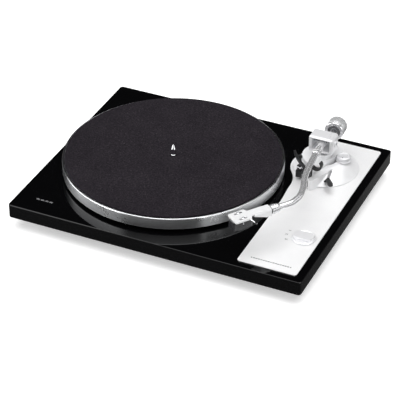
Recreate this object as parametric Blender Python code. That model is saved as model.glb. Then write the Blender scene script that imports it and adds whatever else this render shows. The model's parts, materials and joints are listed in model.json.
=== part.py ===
"""Record player with an S-shaped tonearm: a slab plinth, a direct drive platter and an arm on gimbal
bearings. Metres, +Z up. The origin is on the floor, under the middle of the bounding box; the plinth's
front faces -Y. Pieces are placed from the empty "deck", at the middle of the plinth's top face."""

import math

import bmesh
import bpy
from mathutils import Matrix, Vector

# Fits
GAP = 0.0003             # between pieces that touch
RUN = 0.0004             # between pieces that move on each other

# Plinth and what it stands on
PLINTH_WIDTH = 0.420
PLINTH_DEPTH = 0.338
PLINTH_THICK = 0.020
PLINTH_CORNER = 0.004
PLINTH_CHAMFER = 0.0008
TOP_PANEL = 0.0055       # material left above the bays
COVER_MARGIN = 0.012
COVER_THICK = 0.0012
FOOT_HEIGHT = 0.018
FOOT_RADIUS = 0.021
FOOT_INSET = 0.054
PAD_THICK = 0.0025

# Terminals at the back
JACK_REACH = 0.016       # how far the phono jacks stand out of the back face
PANEL_WIDTH = 0.126
PANEL_HEIGHT = 0.016
PANEL_THICK = 0.002
TERMINAL_RISE = 0.0088   # middle of the sockets above the plinth's underside
JACK_PLACES = (-0.050, -0.034)
GROUND_PLACE = -0.017
USB_PLACE = 0.004
SWITCH_PLACE = 0.027
INLET_PLACE = 0.050
SWITCH_TRAVEL = 0.004
HINGE_INSET = 0.060
HINGE_SIZE = (0.034, 0.009, 0.011)
HINGE_SLOT = (0.024, 0.005, 0.008)

# Platter and motor
SPINDLE_FROM_PIVOT = (-0.1860, -0.0847)
PLATTER_RADIUS = 0.152
PLATTER_LOW = 0.0042     # underside of the rim above the plinth
PLATTER_TOP = 0.0206     # top of the lip round the mat
PLATTER_SHOULDER = 0.0034
PLATTER_WEB = 0.0045
MAT_MARGIN = 0.0036
MAT_THICK = 0.0025
SPINDLE_RADIUS = 0.0036
SPINDLE_NECK = 0.0029
SPINDLE_CONE = 0.0066
SPINDLE_RISE = 0.0160    # above the mat
HUB_RADIUS = 0.017
SLEEVE_RADIUS = 0.008
MOTOR_RADIUS = 0.044
TEETH = 9
POLES_INNER = 0.030
POLES_OUTER = 0.040

# Control plate, knob and arm base
PLATE_THICK = 0.001
PLATE_MARGINS = (0.0110, 0.0112, 0.0118)     # from the plinth's right, front and back edges
PLATE_CORNER = 0.0035
PLATE_LEFT = -0.0219     # from the pivot
PLATE_WAIST = (-0.0244, -0.0630)     # from the pivot
PLATE_BULGE = 0.0445
KNOB_INSET = (0.032, 0.090)      # from the plinth's right and front edges
KNOB_RADIUS = 0.016
KNOB_BAR = (0.030, 0.0160, 0.0052)

PIVOT_INSET = (0.0706, 0.0820)   # from the plinth's right and back edges
ARM_HEIGHT = 0.044       # middle of the arm tube above the plinth
ARM_SLANT = math.radians(3.0)
DOME_RADIUS = 0.0496
DOME_HEIGHT = 0.0175
DOME_CROWN = 0.024       # radius of its flat crown
FLOOR_RADIUS = 0.0405
FLOOR_HEIGHT = 0.004
NOSE_TIP = (0.0002, -0.0552)     # from the pivot
NOSE_RADIUS = 0.0036
RIDGE_END = (0.0162, 0.0015)     # from the pivot
DRUM_RADIUS = 0.029
DRUM_HEIGHT = 0.022
NECK_RADIUS = 0.011
STEM_RADIUS = 0.010

# Bearing block, arm tube and what is on it
BLOCK_SIZE = (0.035, 0.023, 0.0248)
BLOCK_DROP = 0.0138      # its underside below the arm's middle
BLOCK_WINDOW = (0.026, 0.0172)
BLOCK_SHIFT = -0.0009
BLOCK_BEVEL = 0.0022
SHAFT_RADIUS = 0.004
SCREW_RADIUS = 0.002
TUBE_RADIUS = 0.00425
SLEEVE_FRONT = 0.036
SLEEVE_BACK = 0.008
SLEEVE_WALL = 0.00115
STUB_RADIUS = 0.004
WEIGHT_OFFSET = 0.0046   # the weight's axis, to the right of the arm's own
WEIGHT_START = 0.0313
WEIGHT_LENGTH = 0.0185
WEIGHT_RADIUS = 0.0132
DIAL_RADIUS = 0.0134
DIAL_LENGTH = 0.003
COLLAR_WALL = 0.00205
COLLAR_LENGTH = 0.013
SHELL_TURN = math.radians(-38.2)
SHELL_LENGTH = 0.0580
SHELL_WIDTH = 0.0218
SHELL_NECK_WIDTH = 0.0135
SHELL_NECK_END = 0.0320
SHELL_PLATE = (0.0041, 0.0065)   # underside and top above the tube's axis
# The neck's sections: way from the gasket, share of its width, underside, and rise above the plate.
SHELL_NECK = (
    (0.0000, 1.00, -0.0050, 0.0002),
    (0.0065, 1.00, -0.0050, 0.0002),
    (0.0260, 1.04, 0.0022, 0.0001),
)
SCREW_SPACING = 0.0127
CARTRIDGE_SIZE = (0.0144, 0.0280, 0.0138)
CARTRIDGE_SCREWS = 0.0448        # from the tube's end
STYLUS_REACH = 0.0498
STYLUS_DROP = 0.0150
# The tube's bends: places on its middle line, from the pivot, in the arm's own frame.
ARM_ROUTE = (
    (0.0000, -0.0363),
    (0.0004, -0.0500),
    (0.0024, -0.0800),
    (0.0058, -0.0994),
    (0.0106, -0.1187),
    (0.0124, -0.1368),
    (0.0101, -0.1487),
    (0.0063, -0.1580),
    (-0.0040, -0.1704),
    (-0.0081, -0.1757),
    (-0.0122, -0.1809),
)

# Lift, rest and anti-skate
LIFT_RADIUS = 0.040
LIFT_RAIL = ((-0.0314, -0.0276), (-0.0051, -0.0584))     # its ends, from the pivot
LIFT_BOW = 0.0015
LIFT_ROD_ANGLE = math.radians(240.0)
LIFT_DROP = 0.0064       # the rail's top below the arm's middle
LIFT_GUIDE = 0.0195
LIFT_BAR = (0.003, 0.0045)
CUE_SHAFT_HEIGHT = 0.008
CUE_SHAFT_RADIUS = 0.0012
CUE_CAM = (0.003, 0.0016, math.radians(30.0))   # radius, offset and lean at rest
CUE_LEVER_REACH = 0.0206     # from the pivot
REST_REACH = 0.0465      # in front of the pivot
REST_COLUMN = (-0.0034, 0.0016)
CLIP_OPEN = (0.0078, -0.0080)    # the open hook from the pivot, across and up
REST_HINGE_SHARE = 0.008
CLIP_ROOM = 0.0018       # between the hook and the tube
CLIP_WALL = 0.0024
CLIP_THICK = 0.0065
SKATE_FROM_PIVOT = (0.0274, 0.0058)
SKATE_RADIUS = 0.0092
SKATE_HEIGHT = 0.0068
SKATE_FLANGE = (0.0104, 0.0012)

PAINTS = {
    "gloss_black": ((0.006, 0.006, 0.007), 0.08, 0.0),
    "satin_black": ((0.02, 0.02, 0.022), 0.45, 0.0),
    "rubber": ((0.015, 0.015, 0.015), 0.85, 0.0),
    "steel": ((0.55, 0.56, 0.58), 0.3, 1.0),
    "chrome": ((0.80, 0.80, 0.82), 0.1, 1.0),
    "aluminium": ((0.72, 0.73, 0.75), 0.25, 1.0),
    "silver_paint": ((0.74, 0.75, 0.77), 0.35, 0.6),
    "felt": ((0.030, 0.027, 0.030), 0.95, 0.0),
    "board": ((0.02, 0.16, 0.07), 0.5, 0.0),
    "magnet": ((0.09, 0.09, 0.10), 0.6, 0.2),
    "brass": ((0.70, 0.52, 0.22), 0.3, 1.0),
    "smoke": ((0.10, 0.10, 0.11), 0.3, 0.0),
}

PLINTH_TOP = FOOT_HEIGHT + PLINTH_THICK
PLINTH_BACK = PLINTH_DEPTH / 2
DECK = Vector((0.0, -JACK_REACH / 2, PLINTH_TOP))
TERMINAL_HEIGHT = TERMINAL_RISE - PLINTH_THICK
PIVOT = (PLINTH_WIDTH / 2 - PIVOT_INSET[0], PLINTH_BACK - PIVOT_INSET[1])
PLATTER_PLACE = (PIVOT[0] + SPINDLE_FROM_PIVOT[0], PIVOT[1] + SPINDLE_FROM_PIVOT[1])
KNOB_PLACE = (PLINTH_WIDTH / 2 - KNOB_INSET[0], KNOB_INSET[1] - PLINTH_BACK)
SKATE_PLACE = (PIVOT[0] + SKATE_FROM_PIVOT[0], PIVOT[1] + SKATE_FROM_PIVOT[1])
CUE_LEVER_X = PIVOT[0] + CUE_LEVER_REACH
REST_Y = PIVOT[1] - REST_REACH
REST_CLIP_OPEN = (PIVOT[0] + CLIP_OPEN[0], ARM_HEIGHT + CLIP_OPEN[1])
MAT_RADIUS = PLATTER_RADIUS - MAT_MARGIN
BLOCK_LOW = ARM_HEIGHT - BLOCK_DROP
ARM_SLEEVE_RADIUS = TUBE_RADIUS + SLEEVE_WALL
COLLAR_RADIUS = TUBE_RADIUS + COLLAR_WALL
CLIP_INNER = TUBE_RADIUS + CLIP_ROOM
CLIP_OUTER = CLIP_INNER + CLIP_WALL
LIFT_TOP = ARM_HEIGHT - LIFT_DROP
MAT_LOW = PLATTER_TOP - 0.0006
MAT_TOP = MAT_LOW + MAT_THICK
PLATE_TOP = GAP + PLATE_THICK
BASE_LOW = PLATE_TOP + GAP
TUBE_END = Vector((ARM_ROUTE[-1][0], ARM_ROUTE[-1][1], 0.0))
LIFT_ROD = Vector((PIVOT[0] + LIFT_RADIUS * math.cos(LIFT_ROD_ANGLE),
                   PIVOT[1] + LIFT_RADIUS * math.sin(LIFT_ROD_ANGLE)))
NOSE = Vector(PIVOT) + Vector(NOSE_TIP)
RIDGE = (Vector(RIDGE_END) - Vector(NOSE_TIP)).normalized()
RIDGE_NORMAL = Vector((-RIDGE.y, RIDGE.x))       # points to the open side, on the left


def add_empty(name, place, parent=None, turn=0.0):
    """An empty that carries the pieces which share an axis."""
    empty = bpy.data.objects.new(name, None)
    bpy.context.collection.objects.link(empty)
    empty.parent = parent
    empty.location = place
    empty.rotation_euler.z = turn
    return empty


def paint(obj, kind):
    """The object's own Principled material."""
    colour, roughness, metallic = PAINTS[kind]
    material = bpy.data.materials.new(obj.name)
    material.use_nodes = True
    shader = material.node_tree.nodes["Principled BSDF"]
    shader.inputs["Base Color"].default_value = (*colour, 1.0)
    shader.inputs["Roughness"].default_value = roughness
    shader.inputs["Metallic"].default_value = metallic
    obj.data.materials.append(material)


def add_piece(name, bm, kind, parent, place=(0.0, 0.0, 0.0), round_piece=True):
    """One named object from a bmesh, at its place under its parent."""
    bmesh.ops.remove_doubles(bm, verts=bm.verts, dist=1e-7)
    bmesh.ops.recalc_face_normals(bm, faces=bm.faces)
    mesh = bpy.data.meshes.new(name)
    bm.to_mesh(mesh)
    bm.free()
    if round_piece:
        mesh.shade_smooth()
        mesh.set_sharp_from_angle(angle=math.radians(35))
    obj = bpy.data.objects.new(name, mesh)
    bpy.context.collection.objects.link(obj)
    obj.parent = parent
    obj.location = place
    if kind:
        paint(obj, kind)
    return obj


def add_cutter(name, bm, parent, place=(0.0, 0.0, 0.0)):
    cutter = add_piece(name, bm, None, parent, place, round_piece=False)
    cutter.hide_render = True
    cutter.display_type = "WIRE"
    return cutter


def combine(obj, tool, operation):
    modifier = obj.modifiers.new(tool.name, "BOOLEAN")
    modifier.operation = operation
    modifier.solver = "EXACT"
    modifier.object = tool


def cut(obj, name, bm, place=(0.0, 0.0, 0.0)):
    combine(obj, add_cutter(name, bm, obj.parent, place), "DIFFERENCE")


def join(obj, name, bm, place=(0.0, 0.0, 0.0)):
    combine(obj, add_cutter(name, bm, obj.parent, place), "UNION")


def soften(obj, width, segments=2, angle=30):
    bevel = obj.modifiers.new("soften", "BEVEL")
    bevel.width = width
    bevel.segments = segments
    bevel.limit_method = "ANGLE"
    bevel.angle_limit = math.radians(angle)


def arc(centre, radius, start, end, steps):
    """Points on an arc, from one angle to the other, both ends included."""
    turns = [start + (end - start) * i / steps for i in range(steps + 1)]
    return [Vector((centre[0] + radius * math.cos(a), centre[1] + radius * math.sin(a))) for a in turns]


def round_box(width, depth, radius, steps=3, centre=(0.0, 0.0)):
    """Outline of a rectangle with round corners, anticlockwise."""
    x = width / 2 - radius
    y = depth / 2 - radius
    outline = []
    for quarter, (sx, sy) in enumerate(((1, 1), (-1, 1), (-1, -1), (1, -1))):
        start = quarter * math.pi / 2
        middle = (centre[0] + sx * x, centre[1] + sy * y)
        outline += arc(middle, radius, start, start + math.pi / 2, steps)
    return outline


def circle(radius, steps=28, centre=(0.0, 0.0)):
    return arc(centre, radius, 0.0, math.tau * (steps - 1) / steps, steps - 1)


def prism(outline, low, high):
    """A closed solid that stands on an outline."""
    bm = bmesh.new()
    base = [bm.verts.new((p[0], p[1], low)) for p in outline]
    bottom = bm.faces.new(base)
    lifted = bmesh.ops.extrude_face_region(bm, geom=[bottom])
    top = [v for v in lifted["geom"] if isinstance(v, bmesh.types.BMVert)]
    bmesh.ops.translate(bm, vec=(0.0, 0.0, high - low), verts=top)
    return bm


def block(low, high):
    """A box between two corners."""
    outline = [(low[0], low[1]), (high[0], low[1]), (high[0], high[1]), (low[0], high[1])]
    return prism(outline, low[2], high[2])


def turned(profile, steps=24, axis="Z"):
    """A solid turned from a closed outline of (radius, height), about the chosen axis."""
    bm = bmesh.new()
    rings = []
    for radius, height in profile:
        if radius < 1e-9:
            rings.append([bm.verts.new((0.0, 0.0, height))] * steps)
            continue
        ring = []
        for i in range(steps):
            a = math.tau * i / steps
            ring.append(bm.verts.new((radius * math.cos(a), radius * math.sin(a), height)))
        rings.append(ring)
    for k, ring in enumerate(rings):
        after = rings[(k + 1) % len(rings)]
        for i in range(steps):
            j = (i + 1) % steps
            corners = []
            for vert in (ring[i], ring[j], after[j], after[i]):
                if vert not in corners:
                    corners.append(vert)
            if len(corners) > 2:
                bm.faces.new(corners)
    if axis == "X":
        bm.transform(Matrix.Rotation(math.pi / 2, 4, "Y"))
    if axis == "Y":
        bm.transform(Matrix.Rotation(-math.pi / 2, 4, "X"))
    return bm


def lofted(rings):
    """A closed body through rings that have the same number of points."""
    bm = bmesh.new()
    rows = [[bm.verts.new(p) for p in ring] for ring in rings]
    bm.faces.new(rows[0])
    bm.faces.new(rows[-1])
    for row, after in zip(rows, rows[1:]):
        for i in range(len(row)):
            bm.faces.new((row[i - 1], row[i], after[i], after[i - 1]))
    return bm


def rod(radius, low, high, steps=20, axis="Z", bore=0.0):
    """A round bar, or a tube where a bore is given."""
    if bore > 0.0:
        return turned([(bore, low), (radius, low), (radius, high), (bore, high)], steps, axis)
    return turned([(0.0, low), (radius, low), (radius, high), (0.0, high)], steps, axis)


def smooth_route(points, between):
    """Points on a Catmull-Rom curve through the route's own points."""
    knots = [Vector(p) for p in points]
    knots = [2 * knots[0] - knots[1]] + knots + [2 * knots[-1] - knots[-2]]
    route = []
    for k in range(1, len(knots) - 2):
        a, b, c, d = knots[k - 1:k + 3]
        for i in range(between):
            t = i / between
            route.append(0.5 * (2 * b + (c - a) * t + (2 * a - 5 * b + 4 * c - d) * t * t
                                + (3 * b - a - 3 * c + d) * t ** 3))
    route.append(knots[-2])
    return route


def add_tube(name, points, radius, kind, parent, sides=3):
    """A round bar that follows a line of points, with filled ends."""
    curve = bpy.data.curves.new(name, "CURVE")
    curve.dimensions = "3D"
    curve.bevel_depth = radius
    curve.bevel_resolution = sides
    curve.use_fill_caps = True
    spline = curve.splines.new("POLY")
    spline.points.add(len(points) - 1)
    for point, at in zip(spline.points, points):
        point.co = (at[0], at[1], at[2] if len(at) > 2 else 0.0, 1.0)
    obj = bpy.data.objects.new(name, curve)
    bpy.context.collection.objects.link(obj)
    obj.parent = parent
    paint(obj, kind)
    return obj


def make_plinth(deck):
    outline = round_box(PLINTH_WIDTH, PLINTH_DEPTH, PLINTH_CORNER)
    plinth = add_piece("plinth", prism(outline, -PLINTH_THICK, 0.0), "gloss_black", deck)
    soften(plinth, PLINTH_CHAMFER, 2, 60)
    ceiling = -TOP_PANEL
    floor = -PLINTH_THICK - 0.001
    cover = round_box(PLINTH_WIDTH - 2 * COVER_MARGIN, PLINTH_DEPTH - 2 * COVER_MARGIN, 0.006)
    cut(plinth, "cover_recess", prism(cover, floor, -PLINTH_THICK + COVER_THICK + 2 * GAP))
    motor = circle(MOTOR_RADIUS + 0.008, 40, PLATTER_PLACE)
    cut(plinth, "motor_bay", prism(motor, floor, ceiling))
    rotor = circle(POLES_OUTER + 0.002, 40, PLATTER_PLACE)
    cut(plinth, "motor_opening", prism(rotor, ceiling - 0.001, 0.001))
    side = PLINTH_WIDTH / 2 - 0.018
    cut(plinth, "arm_bay", block((PIVOT[0] - 0.039, KNOB_PLACE[1] - 0.030, floor),
                                 (side, PIVOT[1] + 0.038, ceiling)))
    wall = PLINTH_BACK - COVER_MARGIN - 0.003
    cut(plinth, "rear_bay", block((-PANEL_WIDTH / 2, PIVOT[1] + 0.030, floor), (PIVOT[0], wall, ceiling)))
    channel = (PLATTER_PLACE[0] - 0.008, PLATTER_PLACE[1] + MOTOR_RADIUS, floor)
    cut(plinth, "wire_channel", block(channel, (channel[0] + 0.016, PIVOT[1] + 0.032, ceiling)))
    slot = PANEL_WIDTH / 2 - 0.004
    cut(plinth, "terminal_opening", block((-slot, wall - 0.002, TERMINAL_HEIGHT - 0.0062),
                                          (slot, PLINTH_BACK + 0.001, TERMINAL_HEIGHT + 0.0055)))
    cut(plinth, "stem_hole", rod(STEM_RADIUS + GAP, ceiling - 0.001, 0.001), (*PIVOT, 0.0))
    cut(plinth, "switch_hole", rod(0.0048, ceiling - 0.001, 0.001), (*KNOB_PLACE, 0.0))
    return plinth


def make_bottom(deck):
    low = -PLINTH_THICK + GAP
    outline = round_box(PLINTH_WIDTH - 2 * COVER_MARGIN - 2 * GAP,
                        PLINTH_DEPTH - 2 * COVER_MARGIN - 2 * GAP, 0.0055)
    add_piece("bottom_cover", prism(outline, low, low + COVER_THICK), "satin_black", deck)
    pad_top = -PLINTH_TOP + PAD_THICK
    foot_top = low - GAP
    radius = FOOT_RADIUS
    foot = [(0.0, pad_top + GAP), (radius - 0.002, pad_top + GAP), (radius, pad_top + 0.002),
            (radius, foot_top - 0.0015), (radius - 0.0015, foot_top), (0.0, foot_top)]
    pad = [(0.0, -PLINTH_TOP), (radius - 0.004, -PLINTH_TOP), (radius - 0.0035, pad_top), (0.0, pad_top)]
    corners = (("front_left", -1, -1), ("front_right", 1, -1), ("rear_left", -1, 1), ("rear_right", 1, 1))
    for name, sx, sy in corners:
        place = (sx * (PLINTH_WIDTH / 2 - FOOT_INSET), sy * (PLINTH_DEPTH / 2 - FOOT_INSET), 0.0)
        add_piece("foot_" + name, turned(foot), "satin_black", deck, place)
        add_piece("foot_pad_" + name, turned(pad), "rubber", deck, place)


def plate_outline():
    """The control plate: straight on three sides, drawn in to a waist beside the platter, and round
    the arm base."""
    corner = PLATE_CORNER
    left = PIVOT[0] + PLATE_LEFT
    right = PLINTH_WIDTH / 2 - PLATE_MARGINS[0]
    front = PLATE_MARGINS[1] - PLINTH_BACK
    back = PLINTH_BACK - PLATE_MARGINS[2]
    outline = arc((left + corner, front + corner), corner, math.pi, 1.5 * math.pi, 4)
    outline += arc((right - corner, front + corner), corner, -0.5 * math.pi, 0.0, 4)
    outline += arc((right - corner, back - corner), corner, 0.0, 0.5 * math.pi, 4)
    back_left = PIVOT[0] - 0.006
    outline += arc((back_left, back - corner), corner, 0.5 * math.pi, 0.78 * math.pi, 3)
    bulge = arc(PIVOT, PLATE_BULGE, math.radians(112), math.radians(218), 22)
    outline += bulge
    last = bulge[-1]
    waist = Vector(PIVOT) + Vector(PLATE_WAIST)
    foot = Vector((left, waist.y - 0.034))
    pull = Vector((0.0, -0.016))
    lead = Vector((0.010, -0.012))
    for start, leave, arrive, end in ((last, last + lead, waist - pull * 0.5, waist),
                                      (waist, waist + pull * 0.6, foot - pull * 0.5, foot)):
        for i in range(1, 7):
            t = i / 6
            s = 1 - t
            outline.append(start * s ** 3 + leave * 3 * s * s * t + arrive * 3 * s * t * t + end * t ** 3)
    return outline


def make_controls(deck):
    plate = add_piece("control_plate", prism(plate_outline(), GAP, PLATE_TOP), "silver_paint", deck)
    cut(plate, "plate_stem_hole", rod(STEM_RADIUS + GAP, -0.001, 0.003), (*PIVOT, 0.0))
    cut(plate, "plate_switch_hole", rod(0.0048, -0.001, 0.003), (*KNOB_PLACE, 0.0))

    top = -TOP_PANEL - GAP
    switch = add_piece("speed_switch", block((-0.010, -0.010, top - 0.0095), (0.010, 0.010, top)),
                       "satin_black", deck, (*KNOB_PLACE, 0.0))
    join(switch, "switch_bush", rod(0.0045, top - 0.002, -0.001), (*KNOB_PLACE, 0.0))
    cut(switch, "switch_bore", rod(0.003 + RUN, top - 0.0085, 0.001), (*KNOB_PLACE, 0.0))

    low = PLATE_TOP + GAP
    radius = KNOB_RADIUS
    length, width, height = KNOB_BAR
    dish = [(0.0, top - 0.008), (0.003, top - 0.008), (0.003, low), (radius, low), (radius, low + 0.0014),
            (radius - 0.0012, low + 0.0024), (radius - 0.003, low + 0.0012), (0.0, low + 0.0012)]
    knob = add_piece("speed_knob", turned(dish, 32), "silver_paint", deck, (*KNOB_PLACE, 0.0))
    bar = round_box(length - 0.004, width, 0.006, 5)
    join(knob, "knob_bar", prism(bar, low + 0.0005, low + height), (*KNOB_PLACE, 0.0))


def make_terminals(deck):
    inner = PLINTH_BACK + GAP
    outer = inner + PANEL_THICK
    middle = TERMINAL_HEIGHT
    half = PANEL_WIDTH / 2
    panel = add_piece("terminal_panel", block((-half, inner, middle - PANEL_HEIGHT / 2),
                                              (half, outer, middle + PANEL_HEIGHT / 2)), "satin_black",
                      deck)

    tip = PLINTH_BACK + JACK_REACH
    seat = outer + GAP
    jack = [(0.0018, tip - 0.009), (0.0018, tip), (0.0041, tip), (0.0041, seat + 0.0025),
            (0.0056, seat + 0.0025), (0.0056, seat), (0.0030, seat), (0.0030, inner - 0.006),
            (0.0, inner - 0.006), (0.0, tip - 0.009)]
    for name, x in zip(("left", "right"), JACK_PLACES):
        add_piece("phono_jack_" + name, turned(jack, 16, "Y"), "brass", deck, (x, 0.0, middle))
        hole = rod(0.0030 + GAP, inner - 0.01, outer + 0.01, 16, "Y")
        cut(panel, "jack_hole_" + name, hole, (x, 0.0, middle))

    post = [(0.0, inner - 0.004), (0.0020, inner - 0.004), (0.0020, tip - 0.003), (0.0, tip - 0.003)]
    nut = [(0.0020 + RUN, seat), (0.0045, seat), (0.0045, seat + 0.007), (0.0020 + RUN, seat + 0.007)]
    add_piece("ground_post", turned(post, 12, "Y"), "brass", deck, (GROUND_PLACE, 0.0, middle))
    add_piece("ground_nut", turned(nut, 16, "Y"), "steel", deck, (GROUND_PLACE, 0.0, middle))
    hole = rod(0.0020 + GAP, inner - 0.01, outer + 0.01, 16, "Y")
    cut(panel, "post_hole", hole, (GROUND_PLACE, 0.0, middle))

    usb = add_piece("usb_socket", block((-0.0058, inner - 0.012, -0.0052), (0.0058, outer + 0.001, 0.0052)),
                    "steel", deck, (USB_PLACE, 0.0, middle))
    cut(usb, "usb_mouth", block((-0.0042, inner - 0.007, -0.0038), (0.0042, outer + 0.002, 0.0038)),
        (USB_PLACE, 0.0, middle))
    cut(panel, "usb_hole", block((-0.0058 - GAP, inner - 0.01, -0.0052 - GAP),
                                 (0.0058 + GAP, outer + 0.01, 0.0052 + GAP)), (USB_PLACE, 0.0, middle))

    inlet = [(0.0011, inner - 0.008), (0.0011, outer), (0.0, outer), (0.0, inner - 0.010),
             (0.0052, inner - 0.010),
             (0.0052, outer + 0.0015), (0.0032, outer + 0.0015), (0.0032, inner - 0.008)]
    add_piece("power_inlet", turned(inlet, 16, "Y"), "satin_black", deck, (INLET_PLACE, 0.0, middle))
    hole = rod(0.0052 + GAP, inner - 0.01, outer + 0.01, 16, "Y")
    cut(panel, "inlet_hole", hole, (INLET_PLACE, 0.0, middle))

    travel = SWITCH_TRAVEL / 2
    grip = block((-0.0022, inner - 0.004, -0.0018), (0.0022, outer + 0.003, 0.0018))
    slider = add_piece("output_switch", grip, "satin_black", deck, (SWITCH_PLACE - travel, 0.0, middle))
    slider.data.shade_flat()
    cut(panel, "slider_slot", block((-0.0022 - travel - RUN, inner - 0.01, -0.0018 - RUN),
                                    (0.0022 + travel + RUN, outer + 0.01, 0.0018 + RUN)),
        (SWITCH_PLACE, 0.0, middle))

    width, depth, height = HINGE_SIZE
    slot_width, slot_depth, slot_height = HINGE_SLOT
    for name, side in (("left", -1), ("right", 1)):
        x = side * (PLINTH_WIDTH / 2 - HINGE_INSET)
        low = -PLINTH_THICK + 0.001
        socket = add_piece("hinge_socket_" + name, block((x - width / 2, inner, low),
                                                         (x + width / 2, inner + depth, low + height)),
                           "satin_black", deck, round_piece=False)
        centre = inner + depth / 2
        cut(socket, "hinge_slot_" + name,
            block((x - slot_width / 2, centre - slot_depth / 2, low + height - slot_height),
                  (x + slot_width / 2, centre + slot_depth / 2, low + height + 0.001)))


def make_boards(deck):
    top = -TOP_PANEL - 0.003
    low = (PIVOT[0] - 0.035, KNOB_PLACE[1] + 0.016)
    sheet = block((low[0], low[1], top - 0.0016), (low[0] + 0.078, low[1] + 0.085, top))
    board = add_piece("main_board", sheet, "board", deck, round_piece=False)
    for i in range(3):
        x = low[0] + 0.012 + i * 0.022
        chip = block((x, low[1] + 0.012, top - 0.0056), (x + 0.012, low[1] + 0.026, top - 0.001))
        join(board, f"chip_{i}", chip)


def make_motor(axis):
    """The fixed half of the motor, in the platter's middle: plate, board, iron core and shaft sleeve."""
    top = -TOP_PANEL - GAP
    plate = turned([(SLEEVE_RADIUS + GAP, top - 0.0015), (MOTOR_RADIUS + 0.005, top - 0.0015),
                    (MOTOR_RADIUS + 0.005, top), (SLEEVE_RADIUS + GAP, top)], 40)
    add_piece("motor_plate", plate, "steel", axis)
    board = top + GAP
    disc = rod(POLES_OUTER, board, board + 0.0016, 40, bore=SLEEVE_RADIUS + 0.002)
    add_piece("motor_board", disc, "board", axis)

    low = board + 0.0016 + GAP
    outer = POLES_INNER - 0.001
    outline = []
    for tooth in range(TEETH):
        start = math.tau * tooth / TEETH
        step = math.tau / TEETH
        outline += arc((0.0, 0.0), outer, start + 0.08 * step, start + 0.72 * step, 4)
        outline += arc((0.0, 0.0), outer - 0.003, start + 0.72 * step, start + 0.56 * step, 1)
        outline += arc((0.0, 0.0), HUB_RADIUS, start + 0.56 * step, start + 1.24 * step, 2)
        outline.append(arc((0.0, 0.0), outer - 0.003, start + 1.24 * step, start + 1.24 * step, 1)[0])
        outline.append(arc((0.0, 0.0), outer - 0.003, start + 1.08 * step, start + 1.08 * step, 1)[0])
    core = add_piece("stator_core", prism(outline, low, low + 0.009), "magnet", axis, round_piece=False)
    cut(core, "core_bore", rod(SLEEVE_RADIUS + 0.003, low - 0.001, low + 0.012))

    bottom = top - 0.0015 - GAP
    sleeve_top = PLATTER_TOP - 0.0006 - GAP - PLATTER_WEB - 0.007
    bore = SPINDLE_RADIUS + RUN
    sleeve = [(0.0, bottom - 0.003), (0.012, bottom - 0.003), (0.012, bottom), (SLEEVE_RADIUS, bottom),
              (SLEEVE_RADIUS, sleeve_top), (bore, sleeve_top), (bore, bottom), (0.0, bottom)]
    add_piece("bearing_sleeve", turned(sleeve), "brass", axis)
    return bottom + GAP, sleeve_top


def make_platter(axis, shaft_low, sleeve_top):
    seat = MAT_LOW - GAP
    web = seat - PLATTER_WEB
    bore = SPINDLE_RADIUS + GAP
    lip = MAT_RADIUS + 0.0004
    shoulder = PLATTER_SHOULDER
    profile = [(bore, seat), (lip, seat), (lip + 0.0001, PLATTER_TOP)]
    profile += [tuple(p) for p in arc((PLATTER_RADIUS - shoulder, PLATTER_TOP - shoulder), shoulder,
                                      math.pi / 2 - 0.5, 0.0, 4)]
    profile += [(PLATTER_RADIUS, PLATTER_LOW + 0.0006), (PLATTER_RADIUS - 0.0006, PLATTER_LOW),
                (PLATTER_RADIUS - 0.0050, PLATTER_LOW), (PLATTER_RADIUS - 0.0075, web),
                (HUB_RADIUS, web), (HUB_RADIUS - 0.002, sleeve_top + 0.001), (bore, sleeve_top + 0.001)]
    add_piece("platter", turned(profile, 64), "aluminium", axis)
    add_piece("platter_mat", rod(MAT_RADIUS, MAT_LOW, MAT_TOP, 64, bore=bore), "felt", axis)
    tip = MAT_TOP + SPINDLE_RISE
    r = SPINDLE_RADIUS
    cone = tip - SPINDLE_CONE
    spindle = [(0.0, shaft_low), (r, shaft_low), (r, MAT_TOP + 0.0005), (SPINDLE_NECK, MAT_TOP + 0.0010),
               (SPINDLE_NECK, cone - 0.0004), (r, cone), (r * 0.2, tip - 0.0003), (0.0, tip)]
    add_piece("platter_spindle", turned(spindle, 24), "chrome", axis)
    magnet_low = -TOP_PANEL + 0.0035
    add_piece("rotor_magnet", rod(POLES_OUTER, magnet_low, web - GAP, 40, bore=POLES_INNER), "magnet", axis)


def ridge_side(points, inset):
    """The part of an outline that lies on the open side of the ridge, at least an inset away."""
    start = NOSE + RIDGE_NORMAL * inset
    kept = []
    for i, p in enumerate(points):
        q = points[(i + 1) % len(points)]
        here = (p - start).dot(RIDGE_NORMAL)
        there = (q - start).dot(RIDGE_NORMAL)
        if here >= 0:
            kept.append(p)
        if here * there < 0:
            kept.append(p + (q - p) * (here / (here - there)))
    return kept


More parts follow.
